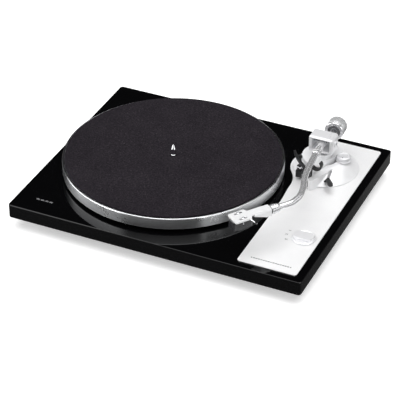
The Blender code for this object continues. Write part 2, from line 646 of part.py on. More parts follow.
def make_arm_base(deck):
    """A low dome on the right of a ridge that ends in a round nose, with a flat floor on its left."""
    steps = 6
    profile = [(0.0, BASE_LOW), (DOME_RADIUS, BASE_LOW), (DOME_RADIUS, BASE_LOW + 0.0012)]
    rise = DOME_HEIGHT - BASE_LOW - 0.0012
    for i in range(1, steps + 1):
        a = i / steps
        profile.append((DOME_RADIUS - (DOME_RADIUS - DOME_CROWN) * a,
                        BASE_LOW + 0.0012 + rise * math.sin(a * math.pi / 2)))
    profile.append((0.0, DOME_HEIGHT))
    base = add_piece("arm_base", turned(profile, 48), "silver_paint", deck, (*PIVOT, 0.0))

    inner = NOSE + RIDGE * 0.040
    side = -RIDGE_NORMAL
    turn = math.atan2(-RIDGE.y, -RIDGE.x)
    centre = NOSE + side * NOSE_RADIUS
    outline = arc(centre, NOSE_RADIUS, turn - math.pi / 2, turn + math.pi / 2, 8)
    outline += [inner + side * 0.012, inner]
    join(base, "nose", prism(outline, BASE_LOW, DOME_HEIGHT - 0.0006))

    far = 0.12
    open_side = [NOSE - RIDGE * far, NOSE + RIDGE * far, NOSE + RIDGE * far + RIDGE_NORMAL * far,
                 NOSE - RIDGE * far + RIDGE_NORMAL * far]
    cut(base, "open_side", prism(open_side, BASE_LOW - 0.001, DOME_HEIGHT + 0.002))
    floor = circle(FLOOR_RADIUS, 48, PIVOT)
    join(base, "floor", prism(ridge_side(floor, -0.004), BASE_LOW, FLOOR_HEIGHT))
    cut(base, "base_stem_hole", rod(STEM_RADIUS + GAP, -0.001, 0.03), (*PIVOT, 0.0))
    cut(base, "drum_room", prism(circle(NECK_RADIUS + 0.009, 40, PIVOT), FLOOR_HEIGHT, 0.03))

    y = LIFT_ROD.y
    z = CUE_SHAFT_HEIGHT
    cut(base, "lever_slot", block((CUE_LEVER_X - 0.0019, y - 0.0085, FLOOR_HEIGHT + 0.0005),
                                  (CUE_LEVER_X + 0.0019, y + 0.0115, 0.03)))
    reach = CUE_LEVER_X - LIFT_ROD.x
    cut(base, "shaft_bore", rod(CUE_SHAFT_RADIUS + RUN, 0.0, reach, 16, "X"), (LIFT_ROD.x, y, z))
    cut(base, "skate_bore", rod(0.002 + RUN, FLOOR_HEIGHT + 0.002, 0.03, 24), (*SKATE_PLACE, 0.0))
    return base


def make_pillar(deck):
    room = circle(DRUM_RADIUS, 40, PIVOT)
    low = FLOOR_HEIGHT + GAP
    pillar = add_piece("arm_pillar", prism(ridge_side(room, GAP * 2), low, DRUM_HEIGHT), "silver_paint",
                       deck)
    top = BLOCK_LOW - 0.0028
    join(pillar, "neck", rod(NECK_RADIUS, low + 0.001, top, 32), (*PIVOT, 0.0))
    join(pillar, "stem", rod(STEM_RADIUS, -PLINTH_THICK + 0.0045, low + 0.001, 32), (*PIVOT, 0.0))
    skate = rod(SKATE_FLANGE[0] + RUN, DOME_HEIGHT, DRUM_HEIGHT + 0.001, 28)
    cut(pillar, "skate_room", skate, (*SKATE_PLACE, 0.0))
    cut(pillar, "shaft_room", rod(SHAFT_RADIUS + RUN, low + 0.003, 0.05), (*PIVOT, 0.0))
    nut_top = -TOP_PANEL - GAP
    add_piece("pillar_nut", rod(0.017, nut_top - 0.005, nut_top, 6, bore=STEM_RADIUS + 0.0022), "steel",
              deck,
              (*PIVOT, 0.0))
    return top


def make_lift(deck):
    place = (LIFT_ROD.x, LIFT_ROD.y, 0.0)
    radius, offset, lean = CUE_CAM
    z = CUE_SHAFT_HEIGHT
    cam_y = offset * math.cos(lean)
    cam_z = offset * math.sin(lean)
    roof = z + cam_z + radius + 0.0011
    low = FLOOR_HEIGHT + GAP
    guide = add_piece("lifter_guide", block((-0.004, -0.0062, low), (0.004, 0.0076, roof + 0.002)),
                      "satin_black", deck, place)
    join(guide, "guide_sleeve", rod(0.0038, roof + 0.001, LIFT_GUIDE), place)
    cut(guide, "cam_room", block((-0.006, -0.0042, 0.001), (0.006, 0.0056, roof)), place)
    cut(guide, "rod_bore", rod(0.0016 + RUN, roof - 0.001, 0.03, 24), place)

    bar, height = LIFT_BAR
    foot = z + cam_z + radius + GAP
    left, right = (Vector(PIVOT) + Vector(end) - LIFT_ROD for end in LIFT_RAIL)
    outward = Vector((right.y - left.y, left.x - right.x)).normalized()
    sides = []
    for i in range(13):
        t = i / 12
        sides.append(left.lerp(right, t) + outward * LIFT_BOW * 4 * t * (1 - t))
    outline = [p + outward * bar / 2 for p in sides] + [p - outward * bar / 2 for p in reversed(sides)]
    lifter = add_piece("arm_lifter", prism(outline, LIFT_TOP - height, LIFT_TOP), "satin_black", deck,
                       place)
    reach = outward * left.dot(outward)
    width = Vector((-outward.y, outward.x)) * 0.0022
    lug = [-width - outward * 0.002, width - outward * 0.002, reach + width, reach - width]
    join(lifter, "lifter_lug", prism(lug, LIFT_TOP - height, LIFT_TOP - 0.001), place)
    join(lifter, "lifter_rod", rod(0.0016, foot, LIFT_TOP - height + 0.001), place)

    reach = CUE_LEVER_X - LIFT_ROD.x
    cue = add_empty("cue_axis", (CUE_LEVER_X, LIFT_ROD.y, z), deck)
    shaft = add_piece("cue_shaft", rod(CUE_SHAFT_RADIUS, -reach - 0.0025, -0.0018, 16, "X"), "steel", cue)
    cam = rod(radius, -0.002, 0.002, 24, "X")
    join(shaft, "cam", cam, (-reach, cam_y, cam_z))

    lever = add_piece("cue_lever", rod(0.0028, -0.0014, 0.0014, 24, "X"), "satin_black", cue)
    stem = block((-0.0011, -0.0135, -0.0012), (0.0011, 0.0001, 0.0012))
    lift = math.radians(-20)
    stem.transform(Matrix.Rotation(lift, 4, "X"))
    join(lever, "lever_stem", stem)
    handle = prism(round_box(0.0070, 0.0165, 0.0030, 3, (0.0, -0.0045)), -0.0012, 0.0014)
    handle.transform(Matrix.Rotation(math.radians(40), 4, "Z"))
    join(lever, "lever_handle", handle, (0.0036, -0.0092, 0.0046))


def make_rest(deck):
    """The post beside the arm, and the hook on it that swings up over the tube."""
    forward = PIVOT[1] - REST_Y
    tube = Vector((PIVOT[0] + forward * math.tan(ARM_SLANT), ARM_HEIGHT))
    middle = (tube + Vector(REST_CLIP_OPEN)) / 2
    across = (Vector(REST_CLIP_OPEN) - tube).normalized()
    hinge = middle - Vector((-across.y, across.x)) * REST_HINGE_SHARE
    place = (hinge.x, REST_Y, hinge.y)

    half = CLIP_THICK / 2
    low = PLATE_TOP + GAP - hinge.y
    column = block((REST_COLUMN[0], -half - RUN - 0.0030, low),
                   (REST_COLUMN[1], half + RUN + 0.0020, -0.0070))
    rest = add_piece("arm_rest", column, "satin_black", deck, place, round_piece=False)
    for name, y in (("front", -half - RUN - 0.0030), ("rear", half + RUN)):
        join(rest, f"rest_ear_{name}", block((-0.0024, y, -0.0080), (0.0024, y + 0.0020, 0.0020)), place)
    cut(rest, "rest_pin_hole", rod(0.0010 + GAP, -0.01, 0.01, 16, "Y"), place)
    pin = rod(0.0010, -half - RUN - 0.0030, half + RUN + 0.0020, 16, "Y")
    add_piece("rest_pin", pin, "steel", deck, place)

    ring = Vector(REST_CLIP_OPEN) - hinge
    start = math.radians(165)
    end = math.radians(405)
    outline = arc(ring, CLIP_OUTER, start, end, 16) + arc(ring, CLIP_INNER, end, start, 16)
    clip_bm = prism(outline, -half, half)
    clip_bm.transform(Matrix.Rotation(math.pi / 2, 4, "X"))
    clip = add_piece("rest_clip", clip_bm, "satin_black", deck, place)
    reach = ring.x - (CLIP_INNER + CLIP_OUTER) / 2
    join(clip, "clip_boss", rod(0.0022, -half + 0.0002, half - 0.0002, 20, "Y"), place)
    join(clip, "clip_arm", block((0.0, -half + 0.0005, -0.0013), (reach, half - 0.0005, 0.0011)), place)
    cut(clip, "clip_pin_hole", rod(0.0010 + RUN, -0.01, 0.01, 16, "Y"), place)


def make_skate(deck):
    radius = SKATE_RADIUS
    flange, thick = SKATE_FLANGE
    low = DOME_HEIGHT + GAP
    top = low + SKATE_HEIGHT
    knob = [(0.0, FLOOR_HEIGHT + 0.003), (0.002, FLOOR_HEIGHT + 0.003), (0.002, low), (flange, low),
            (flange, low + thick), (radius, low + thick), (radius, top - 0.0012), (radius - 0.0012, top),
            (0.0, top)]
    add_piece("anti_skate_knob", turned(knob, 28), "silver_paint", deck, (*SKATE_PLACE, 0.0))


def make_bearing(pivot, pillar_top):
    """The block that swings, its upright shaft, and the two screws that the arm tilts on."""
    width, depth, height = BLOCK_SIZE
    low = BLOCK_LOW - ARM_HEIGHT
    x = BLOCK_SHIFT
    body = block((x - width / 2, -depth / 2, low), (x + width / 2, depth / 2, low + height))
    bearing = add_piece("bearing_block", body, "silver_paint", pivot)
    soften(bearing, BLOCK_BEVEL, 1)
    window_width, window_height = BLOCK_WINDOW
    half = window_height / 2
    lift = -0.0004
    window = block((x - window_width / 2, -depth, lift - half), (x + window_width / 2, depth, lift + half))
    cut(bearing, "block_window", window)
    cut(bearing, "screw_bore", rod(SCREW_RADIUS + GAP, -0.03, 0.03, 24, "X"))
    shaft_top = low - GAP
    shaft = [(0.0, pillar_top - ARM_HEIGHT - 0.012), (SHAFT_RADIUS, pillar_top - ARM_HEIGHT - 0.012),
             (SHAFT_RADIUS, shaft_top - 0.0015), (0.008, shaft_top - 0.0015), (0.008, shaft_top),
             (0.0, shaft_top)]
    add_piece("swing_shaft", turned(shaft), "steel", pivot)
    outside = width / 2
    tip = ARM_SLEEVE_RADIUS + 0.0005
    for name, side in (("right", 1), ("left", -1)):
        face = outside + side * x + GAP
        screw = [(0.0, tip), (SCREW_RADIUS, tip + 0.0018), (SCREW_RADIUS, face), (0.0034, face),
                 (0.0034, face + 0.0008),
                 (0.0028, face + 0.0013), (0.0, face + 0.0013)]
        bm = turned(screw, 16, "X")
        if side < 0:
            bmesh.ops.scale(bm, vec=(-1.0, 1.0, 1.0), verts=bm.verts)
        add_piece("pivot_screw_" + name, bm, "steel", pivot)


def make_arm(arm):
    """The tube and what tilts with it, in the arm's own frame: the tube leaves the pivot along -Y."""
    radius = ARM_SLEEVE_RADIUS
    front = -SLEEVE_FRONT
    sleeve = [(0.0, front), (radius - 0.0006, front), (radius, front + 0.0006), (radius, SLEEVE_BACK),
              (0.0, SLEEVE_BACK)]
    add_piece("pivot_sleeve", turned(sleeve, 24, "Y"), "chrome", arm)
    add_tube("arm_tube", smooth_route(ARM_ROUTE, 3), TUBE_RADIUS, "chrome", arm)


def make_weight(axis):
    """The stub behind the pivot with its dial and weight, on their own axis beside the arm's."""
    back = WEIGHT_START + WEIGHT_LENGTH - 0.003
    add_piece("counterweight_stub", rod(STUB_RADIUS, SLEEVE_BACK + GAP, back, 24, "Y"), "steel", axis)
    start = WEIGHT_START
    bore = STUB_RADIUS + RUN
    dial = [(bore, start - GAP - DIAL_LENGTH), (DIAL_RADIUS - 0.0008, start - GAP - DIAL_LENGTH),
            (DIAL_RADIUS, start - GAP - DIAL_LENGTH + 0.0008), (DIAL_RADIUS, start - GAP),
            (bore, start - GAP)]
    add_piece("force_dial", turned(dial, 28, "Y"), "steel", axis)
    end = start + WEIGHT_LENGTH
    radius = WEIGHT_RADIUS
    weight = [(bore, start), (radius - 0.0008, start), (radius, start + 0.0008), (radius, end - 0.002),
              (radius - 0.002, end), (bore, end)]
    add_piece("counterweight", turned(weight, 28, "Y"), "silver_paint", axis)


def make_headshell(shell):
    """The collar, the shell and the cartridge, in the shell's own frame: it leaves the tube along -Y."""
    bore = TUBE_RADIUS + RUN
    collar = [(bore, 0.0), (COLLAR_RADIUS - 0.0005, 0.0), (COLLAR_RADIUS, 0.0005),
              (COLLAR_RADIUS, COLLAR_LENGTH - 0.0010), (COLLAR_RADIUS - 0.0010, COLLAR_LENGTH),
              (bore, COLLAR_LENGTH)]
    add_piece("locking_collar", turned(collar, 28, "Y"), "chrome", shell)
    add_piece("shell_gasket", rod(0.0058, -GAP - 0.0014, -GAP, 28, "Y"), "rubber", shell)

    low, top = SHELL_PLATE
    start = -GAP * 2 - 0.0014
    half = SHELL_WIDTH / 2
    neck = SHELL_NECK_WIDTH / 2
    outline = [(neck - 0.0012, -0.010), (neck - 0.0012, -SHELL_NECK_END), (half, -SHELL_NECK_END - 0.0025)]
    outline += arc((half - 0.0020, -SHELL_LENGTH + 0.0020), 0.0020, 0.0, -math.pi / 2, 3)
    outline += [(-p[0], p[1]) for p in reversed(outline)]
    plate = add_piece("headshell", prism(outline, low, top), "silver_paint", shell)
    rings = []
    for y, width, bottom, lift in SHELL_NECK:
        side = [(neck * width - 0.0012, bottom), (neck * width, bottom + 0.0010),
                (neck * width, top - 0.0022 + lift),
                (neck * width - 0.0022, top + lift)]
        side += [(-x, z) for x, z in reversed(side)]
        rings.append([(x, start - y, z) for x, z in side])
    join(plate, "shell_neck", lofted(rings))
    join(plate, "shell_stem", rod(0.0040, -0.012, start, 20, "Y"))
    spacing = SCREW_SPACING / 2
    for name, x in (("left", -spacing), ("right", spacing)):
        slot = round_box(0.0030, 0.0120, 0.0014, 3, (x, -CARTRIDGE_SCREWS))
        cut(plate, "shell_slot_" + name, prism(slot, low - 0.001, top + 0.001))
        screw = [(0.0, -0.003), (0.0010, -0.003), (0.0010, top + GAP), (0.0023, top + GAP),
                 (0.0023, top + 0.0014),
                 (0.0, top + 0.0014)]
        add_piece("cartridge_screw_" + name, turned(screw, 16), "steel", shell, (x, -CARTRIDGE_SCREWS, 0.0))

    width, length, height = CARTRIDGE_SIZE
    cart_top = low - GAP
    rear = -CARTRIDGE_SCREWS + 0.0138
    body = add_piece("cartridge_body", block((-width / 2, rear - length, cart_top - height),
                                             (width / 2, rear, cart_top)), "smoke", shell)
    soften(body, 0.0012, 1)
    for name, x in (("left", -spacing), ("right", spacing)):
        cut(body, "cartridge_bore_" + name, rod(0.0013, -0.004, cart_top + 0.001, 16),
            (x, -CARTRIDGE_SCREWS, 0.0))
    bottom = cart_top - height - GAP
    front = -STYLUS_REACH
    holder = add_piece("stylus_holder", block((-0.0045, front - 0.002, bottom - 0.0022),
                                              (0.0045, front + 0.016, bottom)), "smoke", shell)
    base = Vector((0.0, front + 0.007, bottom - 0.0012))
    tip = Vector((0.0, front, -STYLUS_DROP))
    along = tip - base
    arm = rod(0.0004, 0.0, along.length, 8)
    arm.transform(Matrix.Translation(base) @ along.to_track_quat("Z", "Y").to_matrix().to_4x4())
    join(holder, "cantilever", arm)

    turn = -SHELL_NECK_END
    lift = [(half + GAP, turn - 0.0050, low + 0.0012), (half + 0.0030, turn - 0.0044, low + 0.0008),
            (half + 0.0062, turn - 0.0026, low - 0.0010), (half + 0.0085, turn, low - 0.0034)]
    add_tube("finger_lift", smooth_route(lift, 4), 0.0011, "chrome", shell, 2)


def main():
    for old in list(bpy.data.objects):
        bpy.data.objects.remove(old, do_unlink=True)
    deck = add_empty("deck", DECK)
    make_plinth(deck)
    make_bottom(deck)
    make_controls(deck)
    make_terminals(deck)
    make_boards(deck)
    platter_axis = add_empty("platter_axis", (*PLATTER_PLACE, 0.0), deck)
    shaft_low, sleeve_top = make_motor(platter_axis)
    make_platter(platter_axis, shaft_low, sleeve_top)
    make_arm_base(deck)
    pillar_top = make_pillar(deck)
    make_lift(deck)
    make_rest(deck)
    make_skate(deck)
    pivot = add_empty("arm_pivot", (*PIVOT, ARM_HEIGHT), deck)
    make_bearing(pivot, pillar_top)
    arm = add_empty("arm_axis", (0.0, 0.0, 0.0), pivot, ARM_SLANT)
    make_arm(arm)
    make_weight(add_empty("weight_axis", (WEIGHT_OFFSET, 0.0, 0.0), arm))
    shell = add_empty("shell_axis", TUBE_END, arm, SHELL_TURN)
    make_headshell(shell)


main()
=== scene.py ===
import json
import math
import bmesh
import bpy
from mathutils import Matrix, Vector


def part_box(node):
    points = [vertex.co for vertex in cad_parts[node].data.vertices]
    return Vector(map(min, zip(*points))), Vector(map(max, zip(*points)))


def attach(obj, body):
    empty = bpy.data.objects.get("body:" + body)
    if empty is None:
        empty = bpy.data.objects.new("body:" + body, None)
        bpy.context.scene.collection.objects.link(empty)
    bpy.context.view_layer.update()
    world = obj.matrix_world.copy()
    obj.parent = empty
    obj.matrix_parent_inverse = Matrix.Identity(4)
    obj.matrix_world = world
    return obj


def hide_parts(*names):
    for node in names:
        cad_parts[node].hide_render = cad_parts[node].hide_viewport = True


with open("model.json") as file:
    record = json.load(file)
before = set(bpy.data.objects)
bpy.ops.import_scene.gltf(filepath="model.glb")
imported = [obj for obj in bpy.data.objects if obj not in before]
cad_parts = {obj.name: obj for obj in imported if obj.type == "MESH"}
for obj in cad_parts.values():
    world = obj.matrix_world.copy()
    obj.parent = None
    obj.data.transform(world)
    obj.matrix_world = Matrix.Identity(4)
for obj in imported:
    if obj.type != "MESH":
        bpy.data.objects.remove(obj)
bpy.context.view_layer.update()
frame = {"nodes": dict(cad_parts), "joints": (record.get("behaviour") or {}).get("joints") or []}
joints = {joint["name"]: joint for joint in frame["joints"]}
mm = 0.001


# small helpers

def jointPlace(name):
    return Vector(joints[name]["pos_m"])


def boxOf(node):
    low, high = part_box(node)
    return Vector(low), Vector(high)


def axisPlace(origin, along):
    # a level frame whose Y runs along the given axis
    y = Vector(along).normalized()
    x = Vector((y.y, -y.x, 0.0)).normalized()
    turn = Matrix((x, y, x.cross(y))).transposed().to_4x4()
    return Matrix.Translation(origin) @ turn


def addNode(tree, kind, inputs=None, **settings):
    node = tree.nodes.new(kind)
    for key, value in settings.items():
        setattr(node, key, value)
    for key, value in (inputs or {}).items():
        if isinstance(value, bpy.types.NodeSocket):
            tree.links.new(value, node.inputs[key])
        else:
            node.inputs[key].default_value = value
    return node


def mathNode(tree, operation, first, second=0.0, third=0.0):
    values = {0: first, 1: second}
    if operation == "MULTIPLY_ADD":
        values[2] = third
    return addNode(tree, "ShaderNodeMath", values, operation=operation).outputs[0]


def rangeNode(tree, value, low, high, start=0.0, end=1.0, kind="LINEAR"):
    inputs = {"Value": value, "From Min": low, "From Max": high, "To Min": start, "To Max": end}
    return addNode(tree, "ShaderNodeMapRange", inputs, interpolation_type=kind).outputs[0]


# materials

def blendOf(tree, factor, stops):
    ramp = addNode(tree, "ShaderNodeValToRGB", {"Fac": factor})
    elements = ramp.color_ramp.elements
    elements[0].position = stops[0][0]
    elements[0].color = (*stops[0][1], 1.0)
    elements[1].position = stops[-1][0]
    elements[1].color = (*stops[-1][1], 1.0)
    for position, colour in stops[1:-1]:
        elements.new(position).color = (*colour, 1.0)
    return ramp.outputs["Color"]


def emptyMaterial(name):
    material = bpy.data.materials.new(name)
    material.use_nodes = True
    tree = material.node_tree
    shader = tree.nodes["Principled BSDF"]
    place = addNode(tree, "ShaderNodeTexCoord").outputs["Object"]
    return material, tree, shader, place


def setShader(tree, shader, values):
    for key, value in values.items():
        if isinstance(value, bpy.types.NodeSocket):
            tree.links.new(value, shader.inputs[key])
        else:
            shader.inputs[key].default_value = value


def noiseNode(tree, place, scale, detail=3.0, stretch=(1.0, 1.0, 1.0), turn=(0.0, 0.0, 0.0)):
    mapped = addNode(tree, "ShaderNodeMapping", {"Vector": place, "Scale": stretch, "Rotation": turn})
    inputs = {"Vector": mapped.outputs[0], "Scale": scale, "Detail": detail, "Roughness": 0.6}
    return addNode(tree, "ShaderNodeTexNoise", inputs).outputs["Fac"]


def finishMaterial(name, look):
    # two noises: wide patches for the colour, and a fine grain for gloss and bump
    material, tree, shader, place = emptyMaterial(name)
    patches = noiseNode(tree, place, look.get("patchScale", 40.0), 3.0)
    grain = noiseNode(tree, place, look["grainScale"], 4.0, look.get("stretch", (1.0, 1.0, 1.0)))
    smears = noiseNode(tree, place, look.get("smearScale", 90.0), 2.0, (1.0, 0.35, 1.0), (0.0, 0.0, 0.6))
    mixed = mathNode(tree, "MULTIPLY_ADD", patches, 0.6, mathNode(tree, "MULTIPLY", grain, 0.4))
    dark, light = look["colours"]
    low, high = look["roughness"]
    blur = mathNode(tree, "MULTIPLY_ADD", grain, 0.55, mathNode(tree, "MULTIPLY", smears, 0.45))
    bump = addNode(tree, "ShaderNodeBump", {"Height": grain, "Strength": look.get("bump", 0.2),
                                            "Distance": look.get("depth", 0.05) * mm})
    values = {"Base Color": blendOf(tree, mixed, ((0.3, dark), (0.7, light))),
              "Roughness": rangeNode(tree, blur, 0.3, 0.7, low, high),
              "Metallic": look.get("metallic", 0.0), "Normal": bump.outputs[0]}
    values.update(look.get("shader", {}))
    setShader(tree, shader, values)
    return material


looks = {
    "lacquer": {"colours": ((0.0011, 0.0011, 0.0013), (0.0016, 0.0016, 0.0019)), "roughness": (0.02, 0.05),
                "grainScale": 900.0, "bump": 0.02, "depth": 0.01, "shader": {"IOR": 1.42}},
    "powderCoat": {"colours": ((0.018, 0.018, 0.019), (0.030, 0.030, 0.032)), "roughness": (0.5, 0.65),
                   "grainScale": 1600.0, "bump": 0.5, "depth": 0.12},
    "satinBlack": {"colours": ((0.010, 0.010, 0.011), (0.017, 0.017, 0.018)), "roughness": (0.30, 0.42),
                   "grainScale": 2400.0, "bump": 0.18, "depth": 0.04},
    "rubberBlack": {"colours": ((0.010, 0.010, 0.010), (0.020, 0.020, 0.020)), "roughness": (0.75, 0.92),
                    "grainScale": 1800.0, "bump": 0.4, "depth": 0.08},
    "castSilver": {"colours": ((0.83, 0.83, 0.84), (0.92, 0.92, 0.93)), "roughness": (0.30, 0.40),
                   "metallic": 0.25, "grainScale": 2600.0, "bump": 0.10, "depth": 0.03},
    "blockSilver": {"colours": ((0.80, 0.80, 0.82), (0.90, 0.90, 0.91)), "roughness": (0.26, 0.34),
                    "metallic": 0.35, "grainScale": 2600.0, "bump": 0.10, "depth": 0.03},
    "satinChrome": {"colours": ((0.84, 0.84, 0.86), (0.92, 0.92, 0.93)), "roughness": (0.20, 0.28),
                    "metallic": 0.75, "grainScale": 900.0, "bump": 0.06, "depth": 0.02},
    "turnedSteel": {"colours": ((0.50, 0.51, 0.53), (0.66, 0.67, 0.69)), "roughness": (0.20, 0.32),
                    "metallic": 1.0, "grainScale": 900.0, "stretch": (1.0, 6.0, 1.0), "bump": 0.15,
                    "depth": 0.03},
    "brightChrome": {"colours": ((0.80, 0.81, 0.83), (0.88, 0.88, 0.90)), "roughness": (0.04, 0.10),
                     "metallic": 1.0, "grainScale": 500.0, "bump": 0.03, "depth": 0.01},
    "weightSilver": {"colours": ((0.76, 0.77, 0.78), (0.86, 0.86, 0.87)), "roughness": (0.24, 0.32),
                     "metallic": 0.6, "grainScale": 1500.0, "stretch": (1.0, 0.2, 1.0), "bump": 0.1,
                     "depth": 0.03},
    "gold": {"colours": ((0.72, 0.50, 0.20), (0.86, 0.66, 0.32)), "roughness": (0.14, 0.24),
             "metallic": 1.0, "grainScale": 900.0, "bump": 0.1, "depth": 0.02},
    "smokedPlastic": {"colours": ((0.022, 0.022, 0.025), (0.045, 0.045, 0.050)), "roughness": (0.10, 0.18),
                      "grainScale": 700.0, "bump": 0.05, "depth": 0.02,
                      "shader": {"Transmission Weight": 0.25, "IOR": 1.49}},
    "greyInk": {"colours": ((0.07, 0.07, 0.075), (0.11, 0.11, 0.115)), "roughness": (0.5, 0.6),
                "grainScale": 4000.0, "bump": 0.1, "depth": 0.01},
    "foil": {"colours": ((0.60, 0.60, 0.62), (0.74, 0.74, 0.76)), "roughness": (0.22, 0.34),
             "metallic": 0.9, "grainScale": 3000.0, "stretch": (0.1, 1.0, 1.0), "bump": 0.1, "depth": 0.01},
    "whitePlastic": {"colours": ((0.70, 0.70, 0.68), (0.80, 0.80, 0.78)), "roughness": (0.30, 0.40),
                     "grainScale": 1800.0, "bump": 0.1, "depth": 0.03},
    "redPlastic": {"colours": ((0.42, 0.015, 0.015), (0.55, 0.025, 0.020)), "roughness": (0.30, 0.40),
                   "grainScale": 1800.0, "bump": 0.1, "depth": 0.03},
    "ferrite": {"colours": ((0.05, 0.05, 0.055), (0.10, 0.10, 0.11)), "roughness": (0.55, 0.75),
                "grainScale": 1500.0, "bump": 0.5, "depth": 0.1},
}
finishes = {name: finishMaterial(name, look) for name, look in looks.items()}


def plateMaterial():
    # satin silver with the fine even sparkle of bead blasting
    material, tree, shader, place = emptyMaterial("satinPlate")
    sparkle = addNode(tree, "ShaderNodeTexVoronoi", {"Vector": place, "Scale": 3600.0, "Randomness": 1.0})
    clouds = noiseNode(tree, place, 18.0, 3.0)
    grain = noiseNode(tree, place, 2800.0, 4.0)
    tone = mathNode(tree, "MULTIPLY_ADD", sparkle.outputs["Distance"], 0.5,
                    mathNode(tree, "MULTIPLY", clouds, 0.5))
    bump = addNode(tree, "ShaderNodeBump", {"Height": grain, "Strength": 0.22, "Distance": 0.03 * mm})
    setShader(tree, shader, {
        "Base Color": blendOf(tree, tone, ((0.2, (0.76, 0.76, 0.77)), (0.8, (0.93, 0.93, 0.93)))),
        "Roughness": rangeNode(tree, sparkle.outputs["Distance"], 0.0, 0.8, 0.30, 0.44),
        "Metallic": 0.2, "Normal": bump.outputs[0]})
    return material


def rimMaterial():
    # polished on a lathe: rings round the axis that draw every highlight out from top to bottom
    material, tree, shader, place = emptyMaterial("turnedRim")
    axis = jointPlace("platter_spin")
    centred = addNode(tree, "ShaderNodeMapping", {"Vector": place, "Location": (-axis.x, -axis.y, 0.0)})
    parts = addNode(tree, "ShaderNodeSeparateXYZ", {"Vector": centred.outputs[0]})
    flat = addNode(tree, "ShaderNodeCombineXYZ", {"X": parts.outputs["X"], "Y": parts.outputs["Y"]})
    reach = addNode(tree, "ShaderNodeVectorMath", {0: flat.outputs[0]}, operation="LENGTH").outputs["Value"]
    ring = addNode(tree, "ShaderNodeCombineXYZ", {"X": reach, "Y": parts.outputs["Z"]})
    grooves = noiseNode(tree, ring.outputs[0], 5200.0, 2.0)
    bands = noiseNode(tree, ring.outputs[0], 420.0, 2.0)
    haze = noiseNode(tree, place, 24.0, 3.0)
    bump = addNode(tree, "ShaderNodeBump", {"Height": grooves, "Strength": 0.25, "Distance": 0.02 * mm})
    upright = addNode(tree, "ShaderNodeTangent", direction_type="RADIAL", axis="Z")
    setShader(tree, shader, {
        "Base Color": blendOf(tree, bands, ((0.3, (0.74, 0.75, 0.77)), (0.7, (0.86, 0.87, 0.88)))),
        "Roughness": rangeNode(tree, haze, 0.3, 0.7, 0.26, 0.32), "Metallic": 1.0,
        "Anisotropic": 0.9, "Anisotropic Rotation": 0.25, "Tangent": upright.outputs[0],
        "Normal": bump.outputs[0]})
    return material


def feltMaterial():
    # short wool fibres that lie every way, with paler lint here and there
    material, tree, shader, place = emptyMaterial("charcoalFelt")
    fibres = noiseNode(tree, place, 1500.0, 6.0, (1.0, 0.35, 1.0), (0.0, 0.0, 0.5))
    crossFibres = noiseNode(tree, place, 1500.0, 6.0, (0.35, 1.0, 1.0), (0.0, 0.0, 0.9))
    clumps = noiseNode(tree, place, 460.0, 3.0)
    cloud = noiseNode(tree, place, 22.0, 2.0)
    lint = addNode(tree, "ShaderNodeTexVoronoi", {"Vector": place, "Scale": 330.0, "Randomness": 1.0})
    specks = rangeNode(tree, lint.outputs["Distance"], 0.05, 0.16, 0.4, 0.0)
    woven = mathNode(tree, "MULTIPLY_ADD", fibres, 0.35, mathNode(tree, "MULTIPLY", crossFibres, 0.35))
    tone = mathNode(tree, "MULTIPLY_ADD", clumps, 0.55, mathNode(tree, "MULTIPLY", woven, 0.6))
    tone = mathNode(tree, "MULTIPLY_ADD", cloud, 0.12, tone)
    tone = mathNode(tree, "ADD", tone, specks)
    height = mathNode(tree, "MULTIPLY_ADD", clumps, 0.4, woven)
    bump = addNode(tree, "ShaderNodeBump", {"Height": height, "Strength": 0.75, "Distance": 0.25 * mm})
    stops = ((0.42, (0.004, 0.003, 0.005)), (0.6, (0.017, 0.014, 0.018)), (1.0, (0.09, 0.08, 0.088)))
    setShader(tree, shader, {
        "Base Color": blendOf(tree, tone, stops), "Roughness": 0.96, "Normal": bump.outputs[0],
        "Sheen Weight": 0.04, "Sheen Roughness": 0.5, "Sheen Tint": (0.75, 0.72, 0.75, 1.0),
        "Specular IOR Level": 0.1})
    return material


def boardMaterial():
    # green solder mask with paler copper tracks under it
    material, tree, shader, place = emptyMaterial("circuitBoard")
    tracks = addNode(tree, "ShaderNodeTexBrick", {"Vector": place, "Scale": 110.0, "Mortar Size": 0.03,
                                                  "Color1": (0.010, 0.10, 0.035, 1.0),
                                                  "Color2": (0.012, 0.12, 0.045, 1.0),
                                                  "Mortar": (0.05, 0.26, 0.11, 1.0)})
    grain = noiseNode(tree, place, 900.0, 3.0)
    bump = addNode(tree, "ShaderNodeBump", {"Height": tracks.outputs["Fac"], "Strength": 0.3,
                                            "Distance": 0.05 * mm})
    setShader(tree, shader, {"Base Color": tracks.outputs["Color"], "Normal": bump.outputs[0],
                             "Roughness": rangeNode(tree, grain, 0.3, 0.7, 0.28, 0.42)})
    return material


def stackMaterial():
    # thin iron sheets, stacked
    material, tree, shader, place = emptyMaterial("ironStack")
    sheets = addNode(tree, "ShaderNodeTexWave", {"Vector": place, "Scale": 320.0, "Distortion": 0.6},
                     wave_type="BANDS", bands_direction="Z").outputs["Fac"]
    grain = noiseNode(tree, place, 1200.0, 3.0)
    bump = addNode(tree, "ShaderNodeBump", {"Height": sheets, "Strength": 0.6, "Distance": 0.08 * mm})
    setShader(tree, shader, {
        "Base Color": blendOf(tree, sheets, ((0.2, (0.10, 0.10, 0.11)), (0.8, (0.34, 0.34, 0.35)))),
        "Roughness": rangeNode(tree, grain, 0.3, 0.7, 0.35, 0.55), "Metallic": 0.9,
        "Normal": bump.outputs[0]})
    return material


finishes["satinPlate"] = plateMaterial()
finishes["turnedRim"] = rimMaterial()
finishes["charcoalFelt"] = feltMaterial()
finishes["circuitBoard"] = boardMaterial()
finishes["ironStack"] = stackMaterial()
print("materials:", len(finishes))


# geometry node trees

